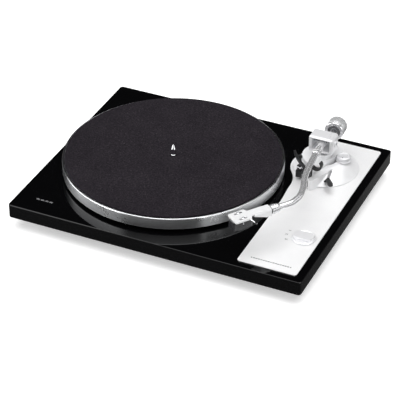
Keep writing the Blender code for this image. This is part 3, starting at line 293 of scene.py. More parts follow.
def newTree(name, sockets):
    tree = bpy.data.node_groups.new(name, "GeometryNodeTree")
    tree.is_modifier = True
    tree.interface.new_socket("Geometry", in_out="INPUT", socket_type="NodeSocketGeometry")
    tree.interface.new_socket("Geometry", in_out="OUTPUT", socket_type="NodeSocketGeometry")
    for label, kind in sockets.items():
        tree.interface.new_socket(label, in_out="INPUT", socket_type="NodeSocket" + kind)
    return tree, addNode(tree, "NodeGroupInput").outputs


def endTree(tree, geometry, finish):
    real = addNode(tree, "GeometryNodeRealizeInstances", {"Geometry": geometry}).outputs[0]
    dressed = addNode(tree, "GeometryNodeSetMaterial", {"Geometry": real, "Material": finish}).outputs[0]
    addNode(tree, "NodeGroupOutput", {"Geometry": dressed})
    return tree


def makeTurningTree():
    # turns a profile of (radius, 0, height) points about Z
    tree, given = newTree("turnedProfile", {"Steps": "Int", "Finish": "Material"})
    size = addNode(tree, "GeometryNodeAttributeDomainSize", {"Geometry": given["Geometry"]},
                   component="MESH")
    count = size.outputs["Point Count"]
    columns = mathNode(tree, "ADD", given["Steps"], 1.0)
    grid = addNode(tree, "GeometryNodeMeshGrid", {"Vertices X": columns, "Vertices Y": count})
    index = addNode(tree, "GeometryNodeInputIndex").outputs[0]
    row = mathNode(tree, "MODULO", index, count)
    column = mathNode(tree, "FLOOR", mathNode(tree, "DIVIDE", index, count))
    angle = mathNode(tree, "DIVIDE", mathNode(tree, "MULTIPLY", column, math.tau), given["Steps"])
    position = addNode(tree, "GeometryNodeInputPosition").outputs[0]
    sample = addNode(tree, "GeometryNodeSampleIndex", {"Geometry": given["Geometry"], "Index": row},
                     data_type="FLOAT_VECTOR")
    tree.links.new(position, sample.inputs["Value"])
    turned = addNode(tree, "ShaderNodeVectorRotate", {"Vector": sample.outputs[0], "Angle": angle},
                     rotation_type="Z_AXIS").outputs[0]
    moved = addNode(tree, "GeometryNodeSetPosition",
                    {"Geometry": grid.outputs["Mesh"], "Position": turned}).outputs[0]
    welded = addNode(tree, "GeometryNodeMergeByDistance",
                     {"Geometry": moved, "Distance": 0.002 * mm}).outputs[0]
    return endTree(tree, welded, given["Finish"])


def makePipeTree():
    # sweeps a circle along a line of points
    tree, given = newTree("sweptPipe", {"Radius": "Float", "Sides": "Int", "Finish": "Material"})
    path = addNode(tree, "GeometryNodeMeshToCurve", {"Mesh": given["Geometry"]}).outputs[0]
    ring = addNode(tree, "GeometryNodeCurvePrimitiveCircle",
                   {"Resolution": given["Sides"], "Radius": given["Radius"]})
    pipe = addNode(tree, "GeometryNodeCurveToMesh", {"Curve": path, "Profile Curve": ring.outputs[0],
                                                     "Fill Caps": True}).outputs[0]
    return endTree(tree, pipe, given["Finish"])


def makeRingTree():
    # stands small bars round a circle about Z, each turned to face outwards
    tree, given = newTree("barRing", {"Count": "Int", "Radius": "Float", "Bar": "Vector",
                                      "Finish": "Material"})
    ring = addNode(tree, "GeometryNodeMeshCircle", {"Vertices": given["Count"],
                                                    "Radius": given["Radius"]}).outputs[0]
    bar = addNode(tree, "GeometryNodeMeshCube", {"Size": given["Bar"]}).outputs[0]
    position = addNode(tree, "GeometryNodeInputPosition").outputs[0]
    facing = addNode(tree, "FunctionNodeAlignRotationToVector", {"Vector": position}, axis="X").outputs[0]
    bars = addNode(tree, "GeometryNodeInstanceOnPoints",
                   {"Points": ring, "Instance": bar, "Rotation": facing}).outputs[0]
    return endTree(tree, bars, given["Finish"])


def makeScrewTree():
    # sets a socket-headed screw on every point, heads along +Z
    tree, given = newTree("screwField", {"Radius": "Float", "Height": "Float", "Finish": "Material"})
    head = addNode(tree, "GeometryNodeMeshCylinder", {
        "Vertices": 20, "Radius": given["Radius"], "Depth": given["Height"]}).outputs["Mesh"]
    topRadius = mathNode(tree, "MULTIPLY", given["Radius"], 0.82)
    crown = addNode(tree, "GeometryNodeMeshCone", {
        "Vertices": 20, "Radius Top": topRadius, "Radius Bottom": given["Radius"],
        "Depth": mathNode(tree, "MULTIPLY", given["Height"], 0.35)}).outputs["Mesh"]
    lifted = addNode(tree, "ShaderNodeCombineXYZ", {"Z": mathNode(tree, "MULTIPLY", given["Height"],
                                                                  0.5)}).outputs[0]
    crown = addNode(tree, "GeometryNodeTransform", {"Geometry": crown, "Translation": lifted}).outputs[0]
    both = addNode(tree, "GeometryNodeJoinGeometry")
    tree.links.new(head, both.inputs[0])
    tree.links.new(crown, both.inputs[0])
    screws = addNode(tree, "GeometryNodeInstanceOnPoints",
                     {"Points": given["Geometry"], "Instance": both.outputs[0]})
    return endTree(tree, screws.outputs[0], given["Finish"])


turningTree = makeTurningTree()
pipeTree = makePipeTree()
ringTree = makeRingTree()
screwTree = makeScrewTree()


def linked(name, mesh):
    piece = bpy.data.objects.new(name, mesh)
    bpy.context.scene.collection.objects.link(piece)
    return piece


def grown(name, tree, values, points=(), closed=False):
    # runs a tree on a line of points and keeps its result as a plain mesh
    mesh = bpy.data.meshes.new(name)
    edges = [(i, i + 1) for i in range(len(points) - 1)]
    if closed:
        edges.append((len(points) - 1, 0))
    mesh.from_pydata([Vector(p) for p in points], edges, [])
    piece = linked(name, mesh)
    modifier = piece.modifiers.new(tree.name, "NODES")
    modifier.node_group = tree
    for item in tree.interface.items_tree:
        if item.in_out == "INPUT" and item.name in values:
            modifier[item.identifier] = values[item.name]
    result = bpy.data.meshes.new_from_object(piece.evaluated_get(bpy.context.evaluated_depsgraph_get()))
    piece.modifiers.clear()
    piece.data = result
    return piece


def tidied(piece, place=None, angle=30.0):
    # closes the mesh, turns its faces outwards, puts it in place and shades it
    bm = bmesh.new()
    bm.from_mesh(piece.data)
    bmesh.ops.remove_doubles(bm, verts=bm.verts, dist=0.001 * mm)
    if place is not None:
        bm.transform(place)
    bmesh.ops.recalc_face_normals(bm, faces=bm.faces)
    bm.to_mesh(piece.data)
    bm.free()
    piece.data.shade_smooth()
    piece.data.set_sharp_from_angle(angle=math.radians(angle))
    return piece


def dressed(piece, body, slot, *replaced, finish=None):
    if finish:
        piece.data.materials.clear()
        piece.data.materials.append(finishes[finish])
    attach(piece, body)
    if replaced:
        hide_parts(*replaced)
    return piece


def eased(points, steps=4):
    # rounds each corner of a profile that gives a third value, the length cut from its two sides
    result = []
    for k, point in enumerate(points):
        here = Vector(point[:2])
        cut = point[2] if len(point) > 2 else 0.0
        if cut == 0.0:
            result.append(here)
            continue
        before = (Vector(points[k - 1][:2]) - here).normalized() * cut
        after = (Vector(points[(k + 1) % len(points)][:2]) - here).normalized() * cut
        for i in range(steps + 1):
            t = i / steps
            result.append(here + before * (1 - t) ** 2 + after * t ** 2)
    return result


def turnedPiece(name, profile, finish, place, steps=64, closed=False):
    # profile in millimetres: radius, height and an optional easing of the corner
    points = [Vector((p.x * mm, 0.0, p.y * mm)) for p in eased(profile)]
    if closed:
        points.append(points[0])
    piece = grown(name, turningTree, {"Steps": steps, "Finish": finishes[finish]}, points)
    return tidied(piece, place)


def pipePiece(name, points, radius, finish, place=None, sides=24):
    piece = grown(name, pipeTree, {"Radius": radius * mm, "Sides": sides, "Finish": finishes[finish]},
                  points)
    return tidied(piece, place, 40.0)


def barRing(name, count, radius, bar, finish, place):
    values = {"Count": count, "Radius": radius * mm, "Bar": [side * mm for side in bar],
              "Finish": finishes[finish]}
    return tidied(grown(name, ringTree, values), place)


def joined(name, pieces):
    # one piece from several, each keeping its own material
    bm = bmesh.new()
    materials = []
    for piece in pieces:
        offset = len(materials)
        start = len(bm.faces)
        bm.from_mesh(piece.data)
        bm.faces.ensure_lookup_table()
        for face in bm.faces[start:]:
            face.material_index += offset
        materials += list(piece.data.materials)
        bpy.data.objects.remove(piece)
    mesh = bpy.data.meshes.new(name)
    bm.to_mesh(mesh)
    bm.free()
    for material in materials:
        mesh.materials.append(material)
    return linked(name, mesh)


def refined(node, width, finish, segments=2, angle=28.0, name=None):
    # the frame's own shape with its flat faces whole again and its edges rounded
    mesh = bpy.data.meshes.new(node)
    bm = bmesh.new()
    bm.from_mesh(frame["nodes"][node].data)
    bmesh.ops.remove_doubles(bm, verts=bm.verts, dist=0.003 * mm)
    bmesh.ops.dissolve_limit(bm, angle_limit=math.radians(1.0), verts=bm.verts, edges=bm.edges)
    bmesh.ops.recalc_face_normals(bm, faces=bm.faces)
    bm.to_mesh(mesh)
    bm.free()
    mesh.shade_smooth()
    mesh.set_sharp_from_angle(angle=math.radians(angle))
    piece = linked(name or "fine_" + node, mesh)
    mesh.materials.append(finishes[finish])
    if width > 0.0:
        bevel = piece.modifiers.new("roundedEdges", "BEVEL")
        bevel.width = width * mm
        bevel.segments = segments
        bevel.limit_method = "ANGLE"
        bevel.angle_limit = math.radians(angle)
        bevel.harden_normals = True
    return piece


def slab(name, outline, low, high, finish, ease=0.0, segments=2, place=None):
    # a flat plate that stands on an outline given in millimetres
    bm = bmesh.new()
    base = [bm.verts.new((x * mm, y * mm, low * mm)) for x, y in outline]
    bottom = bm.faces.new(base)
    lifted = bmesh.ops.extrude_face_region(bm, geom=[bottom])
    top = [v for v in lifted["geom"] if isinstance(v, bmesh.types.BMVert)]
    bmesh.ops.translate(bm, vec=(0.0, 0.0, (high - low) * mm), verts=top)
    if ease > 0.0:
        sharp = [e for e in bm.edges if e.calc_face_angle(0.0) > math.radians(50.0)]
        bmesh.ops.bevel(bm, geom=sharp, offset=ease * mm, segments=segments, affect="EDGES", profile=0.5,
                        clamp_overlap=True)
    mesh = bpy.data.meshes.new(name)
    bm.to_mesh(mesh)
    bm.free()
    mesh.materials.append(finishes[finish])
    return tidied(linked(name, mesh), place, 40.0)


def roundBox(width, depth, radius, steps=5, centre=(0.0, 0.0)):
    outline = []
    for quarter, (sx, sy) in enumerate(((1, 1), (-1, 1), (-1, -1), (1, -1))):
        for i in range(steps + 1):
            a = math.pi / 2 * (quarter + i / steps)
            outline.append((centre[0] + sx * (width / 2 - radius) + radius * math.cos(a),
                            centre[1] + sy * (depth / 2 - radius) + radius * math.sin(a)))
    return outline


# plinth and its badge
plinthSizes = {"edge": 0.35, "badge": (26.0, 2.6), "badgeAt": (-169.3, -148.7), "badgeRise": 0.12}


def makePlinth():
    body = refined("plinth", plinthSizes["edge"], "lacquer", 3, 24.0)
    dressed(body, "deck", "gloss_black", "plinth")
    top = boxOf("plinth")[1].z / mm
    width, depth = plinthSizes["badge"]
    x, y = plinthSizes["badgeAt"]
    marks = []
    for k in range(4):
        step = width / 4
        outline = roundBox(step - 1.6, depth, 0.5, 3, (x + (k - 1.5) * step, y))
        marks.append(slab("badgeBar", outline, top + 0.01, top + plinthSizes["badgeRise"], "foil"))
    dressed(joined("plainBadge", marks), "deck", "silver_plate")


# feet: a ribbed shell with a soft pad under it
footSizes = {"ribs": 36, "rib": (0.7, 1.4, 8.0)}


def makeFeet():
    for name in ("front_left", "front_right", "rear_left", "rear_right"):
        low, high = boxOf("foot_" + name)
        centre = (low + high) / 2
        radius = (high.x - low.x) / 2 / mm
        place = Matrix.Translation((centre.x, centre.y, 0.0))
        bottom, top = low.z / mm, high.z / mm
        profile = [(0.0, bottom + 0.6), (radius - 3.2, bottom + 0.6, 0.3), (radius - 2.8, bottom, 0.4),
                   (radius - 1.0, bottom, 0.8), (radius - 0.6, bottom + 9.6, 0.5),
                   (radius, bottom + 11.0, 0.5),
                   (radius, top, 0.4), (0.0, top)]
        shell = turnedPiece("footShell", profile, "satinBlack", place, 72)
        ribPlace = Matrix.Translation((centre.x, centre.y, (bottom + 5.2) * mm))
        ribs = barRing("footRibs", footSizes["ribs"], radius - 0.75, footSizes["rib"], "satinBlack",
                       ribPlace)
        dressed(joined("ribbedFoot_" + name, [shell, ribs]), "deck", "satin_black", "foot_" + name)
        low, high = boxOf("foot_pad_" + name)
        radius = (high.x - low.x) / 2 / mm
        top = high.z / mm
        pad = [(0.0, 0.5), (6.0, 0.5, 0.2), (6.4, 0.0, 0.3), (9.6, 0.0, 0.3), (10.0, 0.5, 0.2),
               (11.6, 0.5, 0.2),
               (12.0, 0.0, 0.3), (radius - 0.9, 0.0, 0.6), (radius, 1.0, 0.4), (radius, top, 0.3),
               (0.0, top)]
        dressed(turnedPiece("softPad_" + name, pad, "rubberBlack", place, 72), "deck", "rubber",
                "foot_pad_" + name)


# underside cover and its screws
coverSizes = {"edge": 0.25, "screwInset": 7.0, "screwRadius": 3.0, "screwHeight": 0.9, "alongSide": 4}


def makeCover():
    cover = refined("bottom_cover", coverSizes["edge"], "powderCoat")
    dressed(cover, "deck", "steel_sheet", "bottom_cover")
    low, high = boxOf("bottom_cover")
    inset = coverSizes["screwInset"] * mm
    count = coverSizes["alongSide"]
    points = []
    for k in range(count):
        x = low.x + inset + (high.x - low.x - 2 * inset) * k / (count - 1)
        points += [(x, low.y + inset, 0.0), (x, high.y - inset, 0.0)]
    for x in (low.x + inset, high.x - inset):
        points.append((x, (low.y + high.y) / 2, 0.0))
    values = {"Radius": coverSizes["screwRadius"] * mm, "Height": coverSizes["screwHeight"] * mm,
              "Finish": finishes["turnedSteel"]}
    screws = grown("coverScrews", screwTree, values, points)
    flip = Matrix.Translation((0.0, 0.0, low.z - 0.3 * mm)) @ Matrix.Diagonal((1.0, 1.0, -1.0, 1.0))
    dressed(tidied(screws, flip), "deck", "steel")


# platter, mat and spindle
platterSizes = {"steps": 224, "lip": 1.9, "skirt": 4.6, "web": 4.2,
                "hub": 17.0,
                "bore": 3.75, "seat": 0.75, "spindleNeck": 2.9, "spindleCone": 6.6}
matSizes = {"steps": 160, "rings": 56, "edge": 0.8, "nap": 0.05}


def makePlatter():
    low, high = boxOf("platter")
    matLow, matHigh = boxOf("platter_mat")
    spindleLow, spindleHigh = boxOf("platter_spindle")
    axis = jointPlace("platter_spin")
    place = Matrix.Translation((axis.x, axis.y, 0.0))
    radius = (high.x - low.x) / 2 / mm
    bottom, top = low.z / mm, high.z / mm
    seat = top - platterSizes["seat"]
    under = seat - platterSizes["web"]
    hub = platterSizes["hub"]
    bore = platterSizes["bore"]
    inner = radius - platterSizes["skirt"]
    lip = radius - platterSizes["lip"]
    profile = [(bore, seat - 0.3, 0.2), (lip - 0.6, seat - 0.3, 0.2), (lip, top, 0.35),
               (radius - 0.9, top, 0.5),
               (radius - 0.15, top - 1.0, 0.6), (radius, bottom + 0.8, 0.7), (radius - 1.2, bottom, 0.5),
               (inner, bottom, 0.6), (inner - 1.0, under, 1.4), (60.0, under, 1.0),
               (58.0, under - 1.6, 0.8),
               (56.0, under - 1.6, 0.8), (54.0, under, 1.0), (hub + 2.0, under, 1.2),
               (hub, under - 2.0, 0.6),
               (hub, 53.2, 0.4), (bore, 53.2, 0.2)]
    disc = turnedPiece("turnedPlatter", profile, "turnedRim", place, platterSizes["steps"], True)
    dressed(disc, "platter", "platter", "platter")

    matRadius = (matHigh.x - matLow.x) / 2 / mm
    matTop, matBottom = matHigh.z / mm, matLow.z / mm
    matProfile = [(bore + 0.4, matTop - 0.25, 0.2)]
    reach = matRadius - bore - 2.0
    rings = matSizes["rings"]
    for k in range(1, rings):
        r = bore + 1.2 + reach * k / rings
        matProfile.append((r, matTop - matSizes["nap"] * (0.5 + 0.5 * math.sin(k * 2.4))))
    matProfile += [(matRadius, matTop, matSizes["edge"]), (matRadius, matBottom + 0.3, 0.3),
                   (matRadius - 0.4, matBottom - 0.02), (bore + 0.4, matBottom - 0.02)]
    felt = turnedPiece("feltMat", matProfile, "charcoalFelt", place, matSizes["steps"], True)
    dressed(felt, "platter", "felt", "platter_mat")

    pin = (spindleHigh.x - spindleLow.x) / 2 / mm
    tip, foot = spindleHigh.z / mm, spindleLow.z / mm
    neck, cone = platterSizes["spindleNeck"], tip - platterSizes["spindleCone"]
    pinProfile = [(0.0, foot), (pin, foot, 0.4), (pin, matTop + 0.5, 0.3), (neck, matTop + 1.0, 0.2),
                  (neck, cone - 0.5, 0.2), (pin, cone, 0.35), (0.9, tip - 0.5, 0.5), (0.4, tip, 0.2),
                  (0.0, tip)]
    dressed(turnedPiece("spindlePin", pinProfile, "brightChrome", place, 48), "platter", "spindle",
            "platter_spindle")


# control plate and what is printed on it
printSizes = {"rise": 0.03, "tickAt": ((-22.9, 9.4), (-23.9, -0.4), (-20.3, -10.9)), "figure": 4.2,
              "lineX": (131.0, 188.0), "lineY": -152.6, "dashes": 17, "dashDepth": 1.8}


def makeFigures(name, text, size, finish):
    curve = bpy.data.curves.new(name, "FONT")
    curve.body = text
    curve.size = size * mm
    curve.extrude = 0.015 * mm
    curve.align_x = "CENTER"
    curve.align_y = "CENTER"
    curve.resolution_u = 3
    lettering = linked(name, curve)
    mesh = bpy.data.meshes.new_from_object(lettering.evaluated_get(bpy.context.evaluated_depsgraph_get()))
    bpy.data.objects.remove(lettering)
    mesh.materials.clear()
    mesh.materials.append(finishes[finish])
    return linked(name, mesh)


def makeControlPlate():
    plate = refined("control_plate", 0.18, "satinPlate", 2, 24.0)
    dressed(plate, "deck", "silver_plate", "control_plate")
    top = boxOf("control_plate")[1].z / mm
    knob = jointPlace("speed_knob_turn")
    low, high = top + 0.005, top + printSizes["rise"]
    inks = []
    ticks = printSizes["tickAt"]
    for k, (dx, dy) in enumerate(ticks):
        x, y = knob.x / mm + dx, knob.y / mm + dy
        if k == 0:
            inks.append(slab("offTick", roundBox(3.4, 0.7, 0.3, 2, (x, y)), low, high, "greyInk"))
            continue
        figures = makeFigures("speedFigures", "33" if k == 1 else "45", printSizes["figure"], "greyInk")
        inks.append(tidied(figures, Matrix.Translation((x * mm, y * mm, (low + high) / 2 * mm))))
    start, end = printSizes["lineX"]
    count = printSizes["dashes"]
    step = (end - start) / count
    for k in range(count):
        width = step * (0.72 if k % 4 else 0.5)
        outline = roundBox(width, printSizes["dashDepth"], 0.3, 2,
                           (start + step * (k + 0.5), printSizes["lineY"]))
        inks.append(slab("lineDash", outline, low, high, "greyInk"))
    dressed(joined("platePrint", inks), "deck", "silver_plate")


# speed knob: a turned dish with a grip bar across it
knobSizes = {"edge": 0.7, "rimWidth": 1.5, "rimHeight": 1.7}


def makeSpeedKnob():
    axis = jointPlace("speed_knob_turn")
    low, high = boxOf("speed_knob")
    radius = (high.x - low.x) / 2 / mm
    base = boxOf("control_plate")[1].z / mm
    place = Matrix.Translation((axis.x, axis.y, 0.0))
    grip = refined("speed_knob", knobSizes["edge"], "blockSilver", 3, 26.0)
    dressed(grip, "speed_knob", "silver_cast", "speed_knob")
    width, rise = knobSizes["rimWidth"], knobSizes["rimHeight"]
    profile = [(radius - 0.3, base + 0.35, 0.1), (radius, base + 0.6, 0.2), (radius, base + rise, 0.4),
               (radius - width, base + rise + 0.25, 0.4), (radius - width - 0.4, base + 0.35, 0.1)]
    ring = turnedPiece("knobRim", profile, "brightChrome", place, 96, True)
    dressed(ring, "speed_knob", "silver_cast")


# arm base, pillar, and the knob for side force
def makeArmBase():
    dressed(refined("arm_base", 0.55, "castSilver", 3, 24.0), "deck", "silver_cast", "arm_base")
    dressed(refined("arm_pillar", 0.45, "castSilver", 3, 26.0), "deck", "silver_cast", "arm_pillar")


skateSizes = {"step": 1.2, "ribs": 54, "rib": (0.5, 0.42, 3.8), "mark": (0.9, 2.6)}


def makeSkateKnob():
    axis = jointPlace("anti_skate_turn")
    low, high = boxOf("anti_skate_knob")
    place = Matrix.Translation((axis.x, axis.y, 0.0))
    flange = (high.x - low.x) / 2 / mm
    radius = flange - skateSizes["step"]
    foot = boxOf("arm_base")[1].z / mm + 0.3
    top = high.z / mm
    profile = [(0.0, low.z / mm), (2.0, low.z / mm, 0.2), (2.0, foot), (flange, foot, 0.3),
               (flange, foot + 1.2, 0.5),
               (radius, foot + 1.3, 0.1), (radius, top - 1.1, 0.3), (radius - 0.9, top - 0.1, 0.6),
               (radius - 2.0, top, 0.2), (radius - 2.4, top - 0.35, 0.2), (0.0, top - 0.35)]
    cap = turnedPiece("sideForceCap", profile, "blockSilver", place, 72)
    ribPlace = Matrix.Translation((axis.x, axis.y, (foot + 3.6) * mm))
    ribs = barRing("sideForceRibs", skateSizes["ribs"], radius, skateSizes["rib"], "blockSilver", ribPlace)
    width, depth = skateSizes["mark"]
    mark = slab("sideForceMark", roundBox(width, depth, 0.2, 2, (0.0, -radius + 2.9 + depth / 2)),
                top - 0.34, top - 0.3,
                "greyInk", place=place)
    dressed(joined("sideForceKnob", [cap, ribs, mark]), "skate_knob", "silver_cast", "anti_skate_knob")


# lift, cue lever, rest and its hook
def makeLift():
    dressed(refined("arm_lifter", 0.7, "satinBlack", 3), "lifter", "satin_black", "arm_lifter")
    dressed(refined("lifter_guide", 0.4, "satinBlack"), "deck", "satin_black", "lifter_guide")
    dressed(refined("cue_lever", 0.45, "satinBlack", 3), "cue", "satin_black", "cue_lever")
    dressed(refined("arm_rest", 0.4, "satinBlack"), "deck", "satin_black", "arm_rest")
    dressed(refined("rest_clip", 0.5, "satinBlack", 3), "clip", "satin_black", "rest_clip")
    low, high = boxOf("lifter_guide")
    centre = (low + high) / 2
    top = high.z / mm
    # the lift's rod stands over the cue lever's axis
    collarPlace = Matrix.Translation((centre.x, jointPlace("cue_lever_turn").y, 0.0))
    collar = [(2.2, top - 2.6, 0.2), (4.6, top - 2.6, 0.4), (4.6, top + 0.2, 0.7), (2.2, top + 0.2, 0.2)]
    piece = turnedPiece("lifterCollar", collar, "brightChrome", collarPlace, 48, True)
    dressed(piece, "deck", "chrome")


# bearing block and its pivot screws
blockSizes = {"edge": 0.8, "boss": 4.6, "bossRise": 1.5}


def makeBearing():
    dressed(refined("bearing_block", blockSizes["edge"], "blockSilver", 3, 26.0), "gimbal", "silver_cast",
            "bearing_block")
    dressed(refined("swing_shaft", 0.2, "turnedSteel"), "gimbal", "steel", "swing_shaft")
    axis = jointPlace("arm_tilt")
    blockLow, blockHigh = boxOf("bearing_block")
    for name, side in (("left", -1), ("right", 1)):
        low, high = boxOf("pivot_screw_" + name)
        face = blockHigh.x if side > 0 else blockLow.x
        outer = high.x if side > 0 else low.x
        turn = Matrix.Translation((face, axis.y, axis.z)) @ Matrix.Rotation(side * math.pi / 2, 4, "Y")
        boss = blockSizes["boss"]
        rise = blockSizes["bossRise"]
        nut = [(2.1, 0.02, 0.1), (boss, 0.02, 0.2), (boss, rise - 0.3, 0.4), (boss - 0.8, rise, 0.3),
               (2.1, rise, 0.2)]
        dressed(turnedPiece("lockRing_" + name, nut, "blockSilver", turn, 48, True), "gimbal",
                "silver_cast")
        reach = abs(outer - face) / mm
        inner = (abs(high.x - low.x) / mm) - reach
        screw = [(0.0, -inner), (2.0, -inner + 1.8, 0.2), (2.0, reach, 0.3), (0.9, reach + 0.1, 0.1),
                 (0.9, reach - 0.8),
                 (0.0, reach - 0.8)]
        dressed(turnedPiece("pivotScrew_" + name, screw, "turnedSteel", turn, 32), "gimbal", "steel",
                "pivot_screw_" + name)


# tonearm: sleeve, S-shaped tube, weight and dial, all in the arm's own frame
armSizes = {"slant": 3.0, "sleeve": 5.4, "sleeveFront": 36.0, "sleeveBack": 8.0, "tube": 4.25, "sides": 32,
            "between": 8,
            "route": ((0.0, -36.3), (0.4, -50.0), (2.4, -80.0), (5.8, -99.4), (10.6, -118.7),
                      (12.4, -136.8),
                      (10.1, -148.7), (6.3, -158.0), (-4.0, -170.4), (-8.1, -175.7), (-12.2, -180.9))}
weightSizes = {"lead": 8.3, "start": 31.3, "length": 18.5, "radius": 13.2, "bore": 4.4, "dial": 13.4,
               "dialLength": 3.0, "ticks": 50, "tick": (0.05, 0.28, 1.1)}


def smoothRoute(points, between):
    # a smooth line through the points, with even steps between each two
    knots = [Vector((x * mm, y * mm, 0.0)) for x, y in points]
    knots = [2 * knots[0] - knots[1]] + knots + [2 * knots[-1] - knots[-2]]
    route = []
    for k in range(1, len(knots) - 2):
        a, b, c, d = knots[k - 1:k + 3]
        for i in range(between):
            t = i / between
            bend = (2 * a - 5 * b + 4 * c - d) * t ** 2 + (3 * b - a - 3 * c + d) * t ** 3
            route.append(b + (c - a) * t / 2 + bend / 2)
    route.append(knots[-2])
    return route


def makeArm():
    pivot = jointPlace("arm_tilt")
    slant = math.radians(armSizes["slant"])
    place = axisPlace(pivot, (-math.sin(slant), math.cos(slant), 0.0))
    alongY = place @ Matrix.Rotation(-math.pi / 2, 4, "X")
    radius, front, back = armSizes["sleeve"], armSizes["sleeveFront"], armSizes["sleeveBack"]
    sleeve = [(0.0, -front), (radius - 1.1, -front, 0.2), (radius - 0.8, -front + 0.5, 0.2),
              (radius, -front + 0.9, 0.4),
              (radius, -front + 5.0, 0.1), (radius - 0.25, -front + 5.1, 0.1),
              (radius - 0.25, -front + 5.5, 0.1),
              (radius, -front + 5.6, 0.1), (radius, back, 0.4), (0.0, back)]
    dressed(turnedPiece("armSleeve", sleeve, "satinChrome", alongY, 48), "tonearm", "chrome",
            "pivot_sleeve")
    route = smoothRoute(armSizes["route"], armSizes["between"])
    tube = pipePiece("sTube", route, armSizes["tube"], "satinChrome", place, armSizes["sides"])
    dressed(tube, "tonearm", "chrome", "arm_tube")


def makeWeight():
    place = axisPlace(jointPlace("counterweight_turn"), joints["counterweight_turn"]["axis"])
    alongY = place @ Matrix.Rotation(-math.pi / 2, 4, "X")
    s = weightSizes
    back = s["lead"]
    start, end, outer, bore = s["start"], s["start"] + s["length"], s["radius"], s["bore"]
    stub = [(0.0, back), (4.0, back, 0.3), (4.0, start - 6.0, 0.2), (3.7, start - 5.6, 0.2),
            (3.7, end - 4.0, 0.2), (4.0, end - 3.8, 0.2), (4.0, end - 3.0, 0.3), (0.0, end - 3.0)]
    dressed(turnedPiece("weightStub", stub, "turnedSteel", alongY, 40), "tonearm", "steel",
            "counterweight_stub")
    weight = [(bore, start + 0.6, 0.2), (outer - 2.4, start + 0.6, 0.2), (outer - 2.0, start, 0.2),
              (outer - 0.6, start, 0.4),
              (outer, start + 0.7, 0.4), (outer, start + 2.6, 0.15), (outer - 0.35, start + 2.9, 0.15),
              (outer - 0.35, start + 3.3, 0.15), (outer, start + 3.6, 0.15), (outer, end - 2.4, 1.2),
              (outer - 2.2, end, 0.9), (bore + 3.0, end, 0.4), (bore + 2.4, end - 1.2, 0.3),
              (bore, end - 1.2, 0.2)]
    dressed(turnedPiece("roundWeight", weight, "weightSilver", alongY, 96, True), "counterweight",
            "steel_weight",
            "counterweight")
    near = start - 0.3
    face = near - s["dialLength"]
    dial = [(bore, face, 0.2), (s["dial"] - 4.6, face, 0.2), (s["dial"] - 4.2, face + 0.3, 0.2),
            (s["dial"] - 0.9, face + 0.3, 0.3), (s["dial"], face + 1.2, 0.4), (s["dial"], near, 0.2),
            (bore, near, 0.2)]
    dialPiece = turnedPiece("forceScale", dial, "satinChrome", alongY, 80, True)
    scale = [(bore + 0.6, face - 0.02), (s["dial"] - 4.4, face - 0.02), (s["dial"] - 4.4, face + 0.1),
             (bore + 0.6, face + 0.1)]
    scalePiece = turnedPiece("scaleFace", scale, "greyInk", alongY, 80, True)
    tickPlace = alongY @ Matrix.Translation((0.0, 0.0, (near - 1.1) * mm))
    ticks = barRing("forceTicks", s["ticks"], s["dial"] + 0.01, s["tick"], "greyInk", tickPlace)
    figures = []
    for k in range(8):
        figure = makeFigures("forceFigure", str(k), 2.3, "greyInk")
        turn = alongY @ Matrix.Rotation(math.tau * k / 8 + 0.2, 4, "Z") @ Matrix.Translation(
            (0.0, (s["dial"] - 2.6) * mm, (face + 0.28) * mm)) @ Matrix.Rotation(math.pi, 4, "Y")
        figures.append(tidied(figure, turn))
    dressed(joined("forceDial", [dialPiece, scalePiece, ticks] + figures), "dial", "satin_black",
            "force_dial")


# headshell, collar and cartridge, in the shell's own frame
shellSizes = {"edge": 0.45, "collar": 6.1, "collarLength": 13.0, "bore": 4.65, "ribs": 30,
              "rib": (0.45, 0.5, 4.2)}


